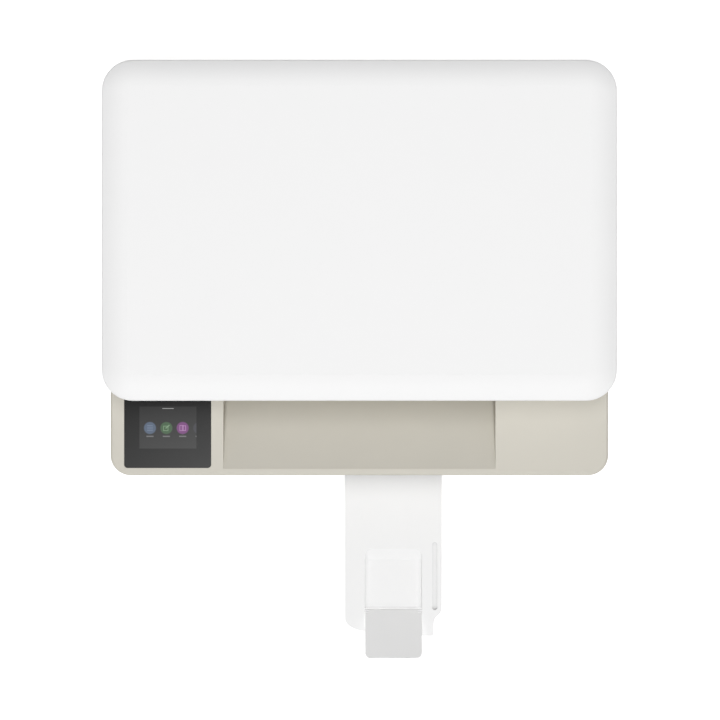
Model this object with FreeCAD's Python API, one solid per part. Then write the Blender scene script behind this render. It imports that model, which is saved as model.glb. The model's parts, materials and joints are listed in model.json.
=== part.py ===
import FreeCAD, Part
import math
import os
from FreeCAD import Vector

# Inkjet printer with flatbed scanner, paper tray and pull-out output extension.
# Sizes are millimetres. X runs to the right, Y to the back, Z up from the table.

# Lid
LID_WIDTH = 430.0
LID_DEPTH = 284.5
LID_RIM = 13.3
LID_CORNER = 26.0
LID_WALL = 2.5
DOME_RUN = 22.0
DOME_ROUND = 2.5
DOME_ROUND_TURN = 60.0
LID_OVER_SIDE = 2.5
LID_OVER_FRONT = 6.0
LID_GAP = 1.0
LID_REAR_RELIEF = 3.0
LID_AXIS_INSET = 6.5
LID_AXIS_RISE = 8.0
LID_BOSS_RADIUS = 4.0

# Body
LEDGE_DEPTH = 64.35
LEDGE_Z = 100.0
BODY_CORNER = 17.0
BODY_EDGE = 2.5
WALL = 2.5
LEDGE_THICK = 4.0
SEAM = 0.3
FRONT_COVER_DEPTH = 90.0
REAR_COVER_SIDE = 15.0
REAR_TOP_DROP = 2.0
DOOR_WIDTH = 225.0
DOOR_HEIGHT = 44.0
DOOR_RISE = 9.0
DOOR_GROOVE = 1.0
DOOR_DEPTH = 0.9
DOOR_THUMB = 9.0
VENT_COUNT = 9
VENT_PITCH = 5.0
VENT_WIDTH = 2.0
VENT_HEIGHT = 26.0
VENT_RISE = 36.0
VENT_FROM_BACK = 42.0
FOOT_HEIGHT = 4.0
FOOT_RADIUS = 8.0
FOOT_INSET = 34.0
PAN_FLOOR = 2.5
PAN_EDGE = 2.0

# Scoop in the ledge
SCOOP_WIDTH = 232.2
RIM_WIDTH = 3.6
SCOOP_FRONT_DROP = 0.66
SCOOP_FRONT_LEAN = 3.2
SCOOP_SLOPE = 23.5
SCOOP_BACK = 3.0

# Display
DISPLAY_WIDTH = 74.2
DISPLAY_SIDE = 11.8
DISPLAY_FRONT = 6.25
DISPLAY_DEPTH = 61.0
DISPLAY_CORNER = 3.0
DISPLAY_GLASS = 1.8
PANEL_WIDTH = 54.0
PANEL_DEPTH = 42.0
PANEL_THICK = 5.0
PANEL_BACK = 5.0

# Output slot and floor
OUTPUT_Z = 50.0
OUTPUT_WIDTH = 224.0
OUTPUT_HEIGHT = 12.0
OUTPUT_FLOOR = 2.5

# Output extension and its stop flap
EXT_WIDTH = 85.0
EXT_X = 29.8
EXT_THICK = 5.0
EXT_PULL = 137.45
EXT_TAB = 6.4
EXT_INSIDE = 26.0
EXT_BOW = 2.6
EXT_CORNER = 11.4
EXT_CORNER_SPREAD = 2.0
EXT_STEP_X = 7.2
EXT_STEP_Y = 18.6
EXT_STEP_RUN = 14.2
TAB_WIDTH = 10.3
TAB_CORNER = 2.0
RAIL_WALL = 2.5
RAIL_LIP = 3.0
GROOVE_WIDTH = 4.3
GROOVE_LENGTH = 59.6
GROOVE_SETBACK = 16.4
GROOVE_DEPTH = 2.4
GROOVE_FROM_EDGE = 6.25
POCKET_LENGTH = 54.1
POCKET_RAMP = 10.0
POCKET_CORNER = 6.0
FLAP_WIDTH = 49.4
FLAP_LENGTH = 43.6
FLAP_THICK = 2.4
FLAP_TILT = 25.0
FLAP_SETBACK = 16.0
FLAP_PIN = 1.2
FLAP_PIN_REACH = 3.0
FLAP_CORNER = 5.0
FLAP_NOTCH = 1.5
FLAP_EAR = 3.0
FLAP_EAR_DEPTH = 2.2

# Paper tray
TRAY_WIDTH = 264.0
TRAY_WALL = 2.5
TRAY_HEIGHT = 31.0
TRAY_LIFT = 0.5
TRAY_DECK_RISE = 3.6
TRAY_DECK = 2.5
TRAY_FRONT_THICK = 3.0
TRAY_FRONT_HEIGHT = 32.0
TRAY_GAP = 0.5
TRAY_BACK_WALL = 10.0
HANDLE_WIDTH = 84.0
HANDLE_DEPTH = 13.0
HANDLE_ROUND = 6.0
GUIDE_RIB = 2.5
GUIDE_RIB_HEIGHT = 12.0

# Paper width guides
PAPER_WIDTH = 216.0
GUIDE_LENGTH = 110.0
GUIDE_HEIGHT = 22.0
GUIDE_THICK = 2.5
GUIDE_TRAVEL = 55.0
GUIDE_Y = 70.0
RACK_MODULE = 1.5
RACK_TEETH = 16
RACK_THICK = 2.6
RACK_BAR = 6.0
RACK_BACKLASH = 0.3
RACK_END = 14.0
PINION_STUD = 3.0

# Paper feed
FEED_BEHIND_LID = 142.5
PAPER_OVER_FLOOR = 2.0
PLATEN_THICK = 2.5
PLATEN_RIB = 0.9
PLATEN_RIB_WIDTH = 1.5
PLATEN_RIBS = 11
PLATEN_RIB_PITCH = 20.0
FEED_RADIUS = 6.0
FEED_SHAFT = 3.0
EJECT_RADIUS = 4.0
EJECT_SHAFT = 2.0
EJECT_ROLLER_LENGTH = 14.0
EJECT_ROLLERS = 5
EJECT_PITCH = 46.0
PINCH_RADIUS = 3.5
PINCH_LENGTH = 34.0
PINCH_ROLLERS = 4
PINCH_PITCH = 56.0
PINCH_AXLE = 1.2
STAR_RADIUS = 3.5
STAR_POINTS = 14
STAR_DEPTH = 0.9
STAR_THICK = 1.6
STAR_AXLE = 0.9
BAR_WIDTH = 10.0
BAR_HEIGHT = 3.0
BAR_LUG = 2.0
PAPER_GAP = 0.3
GEAR_MODULE = 1.0
GEAR_WIDTH = 6.0
GEAR_BACKLASH = 0.2
DEDENDUM = 1.25
PRESSURE = math.radians(20)
FEED_TEETH = 32
IDLER_TEETH = 16
EJECT_TEETH = 21
PINION_TEETH = 12
MOTOR_ANGLE = -35.0
IDLER_STUD = 2.5
FEED_MOTOR_RADIUS = 11.0
FEED_MOTOR_LENGTH = 15.0
MOTOR_SHAFT = 1.5

# Frame plates and cross beam
FRAME_LEFT_ROOM = 37.0
FRAME_RIGHT_ROOM = 21.5
FRAME_THICK = 2.5
FRAME_FRONT = 57.0
FRAME_BACK = 103.0
FRAME_TOP = 93.0
FRAME_FOOT = 20.0
FRAME_FOOT_THICK = 3.0
BEAM_BEHIND_FEED = 54.0
BEAM_THICK = 2.0
BEAM_Z = 64.0
SCREW_SHANK = 1.6
SCREW_HEAD = 3.2
SCREW_HEAD_HEIGHT = 1.4
SCREW_SINK = 0.2
SCREW_LENGTH = 5.0

# Print carriage
CARRIAGE_WIDTH = 66.0
CARRIAGE_PARK_GAP = 5.0
CARRIAGE_FLOOR_RISE = 12.5
CARRIAGE_FLOOR = 2.0
CARRIAGE_HEIGHT = 24.0
CARRIAGE_WALL = 2.0
CARRIAGE_FRONT = 60.0
CARRIAGE_BACK = 30.0
NOZZLE_GAP = 2.3
NOZZLE_FRONT = 30.0
NOZZLE_DEPTH = 20.0
CARTRIDGE_DEPTH = 46.0
CARTRIDGE_PROUD = 3.0
CARTRIDGE_GAP = 0.4
CARTRIDGE_CORNER = 2.0
ROD_RADIUS = 4.0
ROD_BEHIND_FEED = 22.0
ROD_RISE = 26.0
BEARING_GAP = 0.06
BELT_RISE = 28.0
BELT_WIDTH = 6.0
BELT_THICK = 1.2
BELT_GAP = 0.2
BELT_BEHIND_FEED = 42.0
PULLEY_RADIUS = 6.0
PULLEY_LEFT_INSET = 20.5
PULLEY_RIGHT_INSET = 18.0
PULLEY_FLANGE = 1.0
CLAMP_WIDTH = 16.0
CLAMP_WALL = 2.0
CLAMP_GAP = 0.5
CARRIAGE_MOTOR_RADIUS = 12.0
CARRIAGE_MOTOR_LENGTH = 28.0

# Pick arm, rear guide and service station
PICK_RADIUS = 8.0
PICK_WIDTH = 20.0
PICK_FROM_BACK = 20.0
PICK_ARM_RUN = 50.0
PICK_PIVOT_DROP = 8.5
PICK_ARM_HALF = 4.5
PICK_ARM_PLATE = 2.5
PICK_PIN = 2.0
PICK_LUG = 3.0
PICK_NOTCH = 4.0
SIDE_GAP = 0.3
REAR_GUIDE_WALL = 2.0
REAR_GUIDE_GAP = 0.5
REAR_GUIDE_SLACK = 1.5
REAR_GUIDE_END = 2.5
STATION_SIDE = 2.5
STATION_WALL = 2.0
STATION_RISE = 2.0
STATION_MARGIN = 4.0
TANK_GAP = 4.0
SLED_TRAVEL = 5.0
SLED_GAP = 0.4
CAP_WALL = 1.5
CAP_HEIGHT = 4.0

# Electrics
SUPPLY_WIDTH = 32.0
SUPPLY_DEPTH = 38.0
SUPPLY_HEIGHT = 42.0
SUPPLY_GAP = 4.0
SUPPLY_CORNER = 2.0
INLET_WIDTH = 26.0
INLET_HEIGHT = 19.0
INLET_DEPTH = 15.0
INLET_LIFT = 11.0
INLET_SOCKET = 11.0
INLET_RADIUS = 5.2
INLET_PITCH = 8.6
INLET_PIN = 1.2
BOARD_STANDOFF = 3.0
BOARD_THICK = 1.6
BOARD_LENGTH = 176.0
BOARD_HEIGHT = 70.0
BOARD_RISE = 8.0
CHIP_SIZE = 22.0
CHIP_THICK = 2.0
CHIPS = 3
CHIP_PITCH = 44.0
CHIP_START = 11.0
USB_WIDTH = 12.0
USB_HEIGHT = 11.0
USB_DEPTH = 17.0
USB_RISE = 48.0
USB_WALL = 0.8
USB_PROUD = 0.4
USB_TONGUE = 3.0
BUTTON_RADIUS = 6.0
BUTTON_FROM_SIDE = 57.0
BUTTON_RISE = 62.0
BUTTON_PROUD = 1.0
BUTTON_FLANGE = 1.5
CUT_GAP = 0.4

# Scanner unit
SCANNER_GAP = 1.0
SCANNER_HEIGHT = 25.0
SCANNER_CORNER = 22.0
SCANNER_EDGE = 3.0
SCANNER_TOP = 3.0
GLASS_WIDTH = 300.0
GLASS_DEPTH = 218.0
GLASS_MARGIN = 5.0
GLASS_THICK = 2.8
GLASS_FROM_FRONT = 14.0
SENSOR_WIDTH = 20.0
SENSOR_PARK = 31.5
SENSOR_GAP = 0.3
SENSOR_LIFT = 1.0
SENSOR_SLED = 44.0
SCAN_ROD = 3.0
SCAN_ROD_RISE = 5.0
HINGE_FROM_SIDE = 92.0
HINGE_WIDTH = 12.0
HINGE_INSET = 7.5
HINGE_RISE = 6.0
HINGE_RADIUS = 4.5
HINGE_PIN = 2.5
HINGE_PIN_FIT = 0.02
HINGE_BORE_FIT = 0.08
HINGE_LUG = 4.0
HINGE_SIDE = 0.5
HINGE_STEM = 30.0
LID_HINGE_FROM_SIDE = 62.0
LID_HINGE_WIDTH = 18.0
LID_HINGE_RADIUS = 4.0
LID_PIN = 2.0
LINER_THICK = 2.0
LINER_GAP = 0.5
LINER_LIFT = 0.8
PAD_GAP = 0.3
PAD_INSET = 2.0

# Clearances shared by running fits
FIT = 0.06
CLEAR = 0.3
CUT = 1.0

# Places worked out from the sizes
FLAP_BARREL = FLAP_THICK / 2
SIN_TILT = math.sin(math.radians(FLAP_TILT))
COS_TILT = math.cos(math.radians(FLAP_TILT))
FLAP_REACH = FLAP_LENGTH * COS_TILT + FLAP_THICK / 2 * SIN_TILT
EXT_REACH = EXT_PULL - FLAP_SETBACK + FLAP_REACH
TOTAL_DEPTH = LID_DEPTH + LEDGE_DEPTH + EXT_REACH
LID_BACK_Y = TOTAL_DEPTH / 2
LID_FRONT_Y = LID_BACK_Y - LID_DEPTH
FRONT_Y = LID_FRONT_Y - LEDGE_DEPTH
BACK_Y = LID_BACK_Y - LID_OVER_SIDE
SCANNER_FRONT_Y = LID_FRONT_Y + LID_OVER_FRONT
SPLIT_Y = FRONT_Y + FRONT_COVER_DEPTH
HALF = LID_WIDTH / 2 - LID_OVER_SIDE
SCOOP_HALF = SCOOP_WIDTH / 2
FRAME_LEFT = -HALF + WALL + FRAME_LEFT_ROOM
FRAME_RIGHT = HALF - WALL - FRAME_RIGHT_ROOM
CARRIAGE_PARK = FRAME_RIGHT - CARRIAGE_PARK_GAP - CARRIAGE_WIDTH / 2
PULLEY_LEFT = FRAME_LEFT + PULLEY_LEFT_INSET
PULLEY_RIGHT = FRAME_RIGHT - PULLEY_RIGHT_INSET
SENSOR_X = -HALF + WALL + SENSOR_PARK
SUPPLY_X = FRAME_LEFT + SUPPLY_GAP + SUPPLY_WIDTH / 2
REAR_HALF = HALF - REAR_COVER_SIDE
BUTTON_X = REAR_HALF - BUTTON_FROM_SIDE
HINGE_X = HALF - HINGE_FROM_SIDE
LID_HINGE_X = HALF - LID_HINGE_FROM_SIDE

PAN_Z = FOOT_HEIGHT
FLOOR_Z = PAN_Z + PAN_FLOOR
COVER_Z = FLOOR_Z + SEAM
SCANNER_Z = LEDGE_Z + SCANNER_GAP
SCANNER_TOP_Z = SCANNER_Z + SCANNER_HEIGHT
FRAME_PLATE_Z = SCANNER_TOP_Z - SCANNER_TOP
GLASS_Z = FRAME_PLATE_Z - GLASS_THICK
LID_Z = SCANNER_TOP_Z + LID_GAP
LID_RIM_Z = LID_Z + LID_RIM
DOME_TURN = math.radians(DOME_ROUND_TURN)
DOME_START_RUN = DOME_ROUND * (1 - math.cos(DOME_TURN))
DOME_START_RISE = DOME_ROUND * math.sin(DOME_TURN)
DOME_RADIUS = (DOME_RUN - DOME_START_RUN) / math.cos(DOME_TURN)
DOME_RISE = DOME_START_RISE + DOME_RADIUS * (1 - math.sin(DOME_TURN))
LID_AXIS = (LID_BACK_Y - LID_AXIS_INSET, LID_Z + LID_AXIS_RISE)
HINGE_AXIS = (BACK_Y - HINGE_INSET, SCANNER_Z + HINGE_RISE)
COVER_INNER_BACK = BACK_Y - WALL

EXT_TOP_Z = OUTPUT_Z - OUTPUT_FLOOR - CLEAR
EXT_Z = EXT_TOP_Z - EXT_THICK
EXT_LEFT = EXT_X - EXT_WIDTH / 2
EXT_RIGHT = EXT_X + EXT_WIDTH / 2
EXT_FRONT_Y = FRONT_Y - EXT_PULL
FLAP_AXIS = (EXT_FRONT_Y + FLAP_SETBACK, EXT_Z + EXT_THICK / 2)
POCKET_HALF = FLAP_WIDTH / 2 + CLEAR

TRAY_Z = FLOOR_Z + TRAY_LIFT
DECK_Z = TRAY_Z + TRAY_DECK_RISE
DECK_TOP_Z = DECK_Z + TRAY_DECK
TRAY_HALF = TRAY_WIDTH / 2
RACK_Z = DECK_Z - CLEAR - RACK_THICK
GUIDE_PITCH = RACK_MODULE * RACK_TEETH / 2

PAPER_Z = OUTPUT_Z + PAPER_OVER_FLOOR
PLATEN_Z = PAPER_Z - PLATEN_RIB - PLATEN_THICK
PLATEN_TOP_Z = PLATEN_Z + PLATEN_THICK
INLET_Z = PLATEN_TOP_Z + INLET_LIFT
FEED_Y = LID_FRONT_Y + FEED_BEHIND_LID
FEED_Z = PAPER_Z - FEED_RADIUS
EJECT_Z = PAPER_Z - EJECT_RADIUS
FEED_PITCH = GEAR_MODULE * FEED_TEETH / 2
IDLER_PITCH = GEAR_MODULE * IDLER_TEETH / 2
EJECT_PITCH_RADIUS = GEAR_MODULE * EJECT_TEETH / 2
PINION_PITCH = GEAR_MODULE * PINION_TEETH / 2
TRAIN_SPAN = FEED_PITCH + 2 * IDLER_PITCH + EJECT_PITCH_RADIUS
TRAIN_ANGLE = math.pi - math.asin((EJECT_Z - FEED_Z) / TRAIN_SPAN)
EJECT_Y = FEED_Y + TRAIN_SPAN * math.cos(TRAIN_ANGLE)
IDLER_Y = FEED_Y + (FEED_PITCH + IDLER_PITCH) * math.cos(TRAIN_ANGLE)
IDLER_Z = FEED_Z + (FEED_PITCH + IDLER_PITCH) * math.sin(TRAIN_ANGLE)
PINION_Y = FEED_Y + (FEED_PITCH + PINION_PITCH) * math.cos(math.radians(MOTOR_ANGLE))
PINION_Z = FEED_Z + (FEED_PITCH + PINION_PITCH) * math.sin(math.radians(MOTOR_ANGLE))
GEAR_X = FRAME_LEFT - FRAME_THICK - CUT - GEAR_WIDTH
PINCH_Z = PAPER_Z + PAPER_GAP + PINCH_RADIUS
STAR_Z = PAPER_Z + PAPER_GAP + STAR_RADIUS
GUIDE_INNER = (PAPER_Z - DECK_TOP_Z) / 2
GUIDE_OUTER = GUIDE_INNER + REAR_GUIDE_WALL
REAR_GUIDE_Y = COVER_INNER_BACK - REAR_GUIDE_GAP - GUIDE_OUTER
REAR_GUIDE_Z = DECK_TOP_Z + GUIDE_INNER
TRAY_BACK_Y = REAR_GUIDE_Y - REAR_GUIDE_SLACK
BEAM_Y = FEED_Y + BEAM_BEHIND_FEED
PICK_Y = TRAY_BACK_Y - PICK_FROM_BACK
PICK_Z = DECK_TOP_Z + CLEAR + PICK_RADIUS
PIVOT_Y = PICK_Y - PICK_ARM_RUN
PIVOT_Z = PLATEN_Z - PICK_PIVOT_DROP

CARRIAGE_Z = PAPER_Z + CARRIAGE_FLOOR_RISE
CARRIAGE_TOP_Z = CARRIAGE_Z + CARRIAGE_HEIGHT
CARRIAGE_FRONT_Y = FEED_Y - CARRIAGE_FRONT
CARRIAGE_BACK_Y = FEED_Y + CARRIAGE_BACK
CRADLE_BACK_Y = CARRIAGE_FRONT_Y + CARRIAGE_WALL * 2 + CARTRIDGE_DEPTH + CARTRIDGE_GAP * 2
NOZZLE_Y = FEED_Y - NOZZLE_FRONT
NOZZLE_Z = PAPER_Z + NOZZLE_GAP
ROD_Y = FEED_Y + ROD_BEHIND_FEED
ROD_Z = PAPER_Z + ROD_RISE
BELT_Z = PAPER_Z + BELT_RISE
BELT_Y = FEED_Y + BELT_BEHIND_FEED
BELT_RUN_Z = BELT_Z + PULLEY_RADIUS + BELT_GAP
BOARD_X = FRAME_RIGHT + FRAME_THICK + BOARD_STANDOFF
STATION_LEFT = CARRIAGE_PARK - CARRIAGE_WIDTH / 2 - STATION_SIDE
STATION_RIGHT = CARRIAGE_PARK + CARRIAGE_WIDTH / 2 + STATION_SIDE
STATION_Z = TRAY_Z + TRAY_HEIGHT + STATION_RISE
TANK_LEFT = TRAY_HALF + TRAY_GAP + GUIDE_RIB + TANK_GAP


def block(x, y, z):
    """Box between the low and high values given for each axis."""
    return Part.makeBox(x[1] - x[0], y[1] - y[0], z[1] - z[0], Vector(x[0], y[0], z[0]))


def rod_x(x, y, z, radius):
    return Part.makeCylinder(radius, x[1] - x[0], Vector(x[0], y, z), Vector(1, 0, 0))


def rod_y(x, y, z, radius):
    return Part.makeCylinder(radius, y[1] - y[0], Vector(x, y[0], z), Vector(0, 1, 0))


def rod_z(x, y, z, radius):
    return Part.makeCylinder(radius, z[1] - z[0], Vector(x, y, z[0]), Vector(0, 0, 1))


def around(centre, half):
    """Low and high value on both sides of a centre."""
    return (centre - half, centre + half)


def rounded_wire(x, y, z, radii):
    """Rectangle in plan with a radius at front left, front right, back right and back left."""
    corners = [Vector(x[0], y[0], z), Vector(x[1], y[0], z), Vector(x[1], y[1], z), Vector(x[0], y[1], z)]
    ways = [Vector(0, -1, 0), Vector(1, 0, 0), Vector(0, 1, 0), Vector(-1, 0, 0)]
    starts = []
    ends = []
    edges = []
    for index, radius in enumerate(radii):
        starts.append(corners[index] - ways[index] * radius)
        ends.append(corners[index] + ways[(index + 1) % 4] * radius)
    for index, radius in enumerate(radii):
        if radius > 0:
            bulge = (ways[(index + 1) % 4] - ways[index]) * (radius * (1 - math.sqrt(0.5)))
            edges.append(Part.Arc(starts[index], corners[index] + bulge, ends[index]).toShape())
        edges.append(Part.LineSegment(ends[index], starts[(index + 1) % 4]).toShape())
    return Part.Wire(edges)


def slab(x, y, z, radii):
    """Upright prism on a rounded rectangle."""
    return Part.Face(rounded_wire(x, y, z[0], radii)).extrude(Vector(0, 0, z[1] - z[0]))


def prism_x(points, x):
    """Prism along X on a polygon of (y, z) points."""
    loop = [Vector(x[0], y, z) for y, z in points]
    return Part.Face(Part.makePolygon(loop + loop[:1])).extrude(Vector(x[1] - x[0], 0, 0))


def prism_z(points, z):
    """Prism along Z on a polygon of (x, y) points."""
    loop = [Vector(x, y, z[0]) for x, y in points]
    return Part.Face(Part.makePolygon(loop + loop[:1])).extrude(Vector(0, 0, z[1] - z[0]))


def fuse(first, *others):
    return first.fuse(list(others)).removeSplitter()


def cut(first, *others):
    return first.cut(list(others))


def group(shapes):
    """Several equal pieces kept in one node."""
    return Part.makeCompound(shapes)


def fillet_edges(shape, radius, wanted):
    """Rounds the edges whose centre satisfies the test."""
    edges = [edge for edge in shape.Edges if wanted(edge)]
    return shape.makeFillet(radius, edges)


def at_height(z):
    """Test for edges that lie wholly at one height."""
    return lambda edge: abs(edge.BoundBox.ZMin - z) < FIT and abs(edge.BoundBox.ZMax - z) < FIT


def involute(angle):
    return math.tan(angle) - angle


def gear_outline(teeth, module, backlash, phase):
    """Points of a spur gear: root, base, pitch and tip of every involute flank."""
    pitch = module * teeth / 2
    base = pitch * math.cos(PRESSURE)
    root = pitch - DEDENDUM * module
    tip = pitch + module
    half = (math.pi * module / 2 - backlash) / (2 * pitch)
    flank = []
    for radius in (max(base, root), pitch, tip):
        flank.append((radius, half + involute(PRESSURE) - involute(math.acos(min(1.0, base / radius)))))
    if root < base:
        flank.insert(0, (root, flank[0][1]))
    points = []
    for tooth in range(teeth):
        middle = phase + tooth * 2 * math.pi / teeth
        points += [(radius, middle - turn) for radius, turn in flank]
        points += [(radius, middle + turn) for radius, turn in reversed(flank)]
    return [(radius * math.cos(turn), radius * math.sin(turn)) for radius, turn in points]


def gear_x(teeth, centre, phase, bore):
    """Spur gear on an axis along X in the plane of the train."""
    outline = gear_outline(teeth, GEAR_MODULE, GEAR_BACKLASH, phase)
    x = (GEAR_X, GEAR_X + GEAR_WIDTH)
    wheel = prism_x([(centre[0] + y, centre[1] + z) for y, z in outline], x)
    return cut(wheel, rod_x((x[0] - CUT, x[1] + CUT), centre[0], centre[1], bore))


def meshing_phase(angle, teeth, phase, next_teeth):
    """Phase of a gear whose gap meets the tooth of the gear before it at the line of centres."""
    share = (angle - phase) / (2 * math.pi / teeth)
    return angle + math.pi - (0.5 - share) * 2 * math.pi / next_teeth


def make_base_pan():
    radii = [BODY_CORNER] * 4
    pan = slab((-HALF, HALF), (FRONT_Y, BACK_Y), (PAN_Z, FLOOR_Z), radii)
    pan = fillet_edges(pan, PAN_EDGE, at_height(PAN_Z))
    ribs = []
    for side in (-1, 1):
        near = side * (TRAY_HALF + TRAY_GAP)
        far = near + side * GUIDE_RIB
        x = (min(near, far), max(near, far))
        y = (FRONT_Y + TRAY_FRONT_THICK + CUT, TRAY_BACK_Y)
        ribs.append(block(x, y, (FLOOR_Z, FLOOR_Z + GUIDE_RIB_HEIGHT)))
    pan = fuse(pan, *ribs)
    holes = []
    for x, y in screw_places():
        holes.append(rod_z(x, y, (PAN_Z - CUT, FLOOR_Z + CUT), SCREW_SHANK + FIT))
        holes.append(rod_z(x, y, (PAN_Z - CUT, PAN_Z + SCREW_HEAD_HEIGHT + SCREW_SINK), SCREW_HEAD + FIT))
    return cut(pan, *holes)


def screw_places():
    """Case screws below the feet of the two frame plates."""
    columns = (FRAME_LEFT - FRAME_FOOT / 2, FRAME_RIGHT - FRAME_FOOT / 2)
    rows = (FEED_Y - FRAME_FRONT + FRAME_FOOT / 2, FEED_Y + FRAME_BACK - FRAME_FOOT / 2)
    return [(x, y) for x in columns for y in rows]


def make_case_screws():
    screws = []
    for x, y in screw_places():
        head_z = PAN_Z + SCREW_SINK
        head = rod_z(x, y, (head_z, head_z + SCREW_HEAD_HEIGHT), SCREW_HEAD)
        screws.append(fuse(head, rod_z(x, y, (head_z, head_z + SCREW_LENGTH), SCREW_SHANK)))
    return group(screws)


def make_rubber_feet():
    feet = []
    for x in (-HALF + FOOT_INSET, HALF - FOOT_INSET):
        for y in (FRONT_Y + FOOT_INSET, BACK_Y - FOOT_INSET):
            feet.append(rod_z(x, y, (0, FOOT_HEIGHT), FOOT_RADIUS))
    return group(feet)


def cover_ring(top):
    """Upright wall all round behind the front cover."""
    y = (SPLIT_Y + SEAM, BACK_Y)
    outer = slab((-HALF, HALF), y, (COVER_Z, top), [0, 0, BODY_CORNER, BODY_CORNER])
    inner_y = (y[0] - CUT, BACK_Y - WALL)
    inner_radius = BODY_CORNER - WALL
    inner_x = (-HALF + WALL, HALF - WALL)
    inner = slab(inner_x, inner_y, (COVER_Z - CUT, top + CUT), [0, 0, inner_radius, inner_radius])
    return cut(outer, inner)


def make_side_cover(side):
    x = (0, HALF + CUT) if side > 0 else (-HALF - CUT, 0)
    ring = cover_ring(LEDGE_Z).common(block(x, (SPLIT_Y, BACK_Y + CUT), (0, LEDGE_Z + CUT)))
    gap_x = (-REAR_HALF - SEAM, REAR_HALF + SEAM)
    gap = block(gap_x, (BACK_Y - BODY_CORNER, BACK_Y + CUT), (0, LEDGE_Z + CUT))
    relief_y = (HINGE_AXIS[0] - HINGE_RADIUS * 2, BACK_Y + CUT)
    relief = block((-HALF - CUT, HALF + CUT), relief_y, (LEDGE_Z - REAR_TOP_DROP, LEDGE_Z + CUT))
    vent_x = around(side * (HALF - WALL / 2), WALL)
    vent_z = (FLOOR_Z + VENT_RISE, FLOOR_Z + VENT_RISE + VENT_HEIGHT)
    vents = []
    for index in range(VENT_COUNT):
        middle = BACK_Y - VENT_FROM_BACK - index * VENT_PITCH
        vents.append(block(vent_x, around(middle, VENT_WIDTH / 2), vent_z))
    return cut(ring, gap, relief, *vents)


def door_outline():
    """Shallow groove round the rear door, with a thumb hollow at the middle of its top."""
    y = (BACK_Y - DOOR_DEPTH, BACK_Y + CUT)
    z = (FLOOR_Z + DOOR_RISE, FLOOR_Z + DOOR_RISE + DOOR_HEIGHT)
    outer = block(around(0, DOOR_WIDTH / 2), y, z)
    inner_z = (z[0] + DOOR_GROOVE, z[1] - DOOR_GROOVE)
    inner = block(around(0, DOOR_WIDTH / 2 - DOOR_GROOVE), y, inner_z)
    thumb = rod_y(0, y, z[1], DOOR_THUMB).common(outer)
    return fuse(cut(outer, inner), thumb)


def make_rear_cover():
    span = block((-REAR_HALF, REAR_HALF), (BACK_Y - BODY_CORNER, BACK_Y + CUT), (0, LEDGE_Z))
    cover = cover_ring(LEDGE_Z - REAR_TOP_DROP).common(span)
    through = (BACK_Y - WALL - CUT, BACK_Y + CUT)
    inlet_x = around(SUPPLY_X, INLET_WIDTH / 2 + CUT_GAP)
    inlet_z = (INLET_Z - CUT_GAP, INLET_Z + INLET_HEIGHT + CUT_GAP)
    inlet = block(inlet_x, through, inlet_z)
    usb_z = (FLOOR_Z + USB_RISE - CUT_GAP, FLOOR_Z + USB_RISE + USB_HEIGHT + CUT_GAP)
    usb = block((BOARD_X - USB_WIDTH - CUT_GAP, BOARD_X + CUT_GAP), through, usb_z)
    button = rod_y(BUTTON_X, through, FLOOR_Z + BUTTON_RISE, BUTTON_RADIUS + CLEAR)
    return cut(cover, inlet, usb, button, door_outline())


def scoop_profile(drop):
    """Side outline of the scoop's hollow, lowered by a wall for its outside."""
    front = FRONT_Y + RIM_WIDTH - drop
    low = LEDGE_Z - SCOOP_FRONT_DROP - drop
    back = SPLIT_Y - SCOOP_BACK - WALL + drop
    foot = front + SCOOP_FRONT_LEAN
    fall = math.tan(math.radians(SCOOP_SLOPE)) * (back - foot)
    top = LEDGE_Z - LEDGE_THICK / 2 if drop else LEDGE_Z + CUT
    return [(front, top), (foot, low), (back, low - fall), (back, top)]


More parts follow.
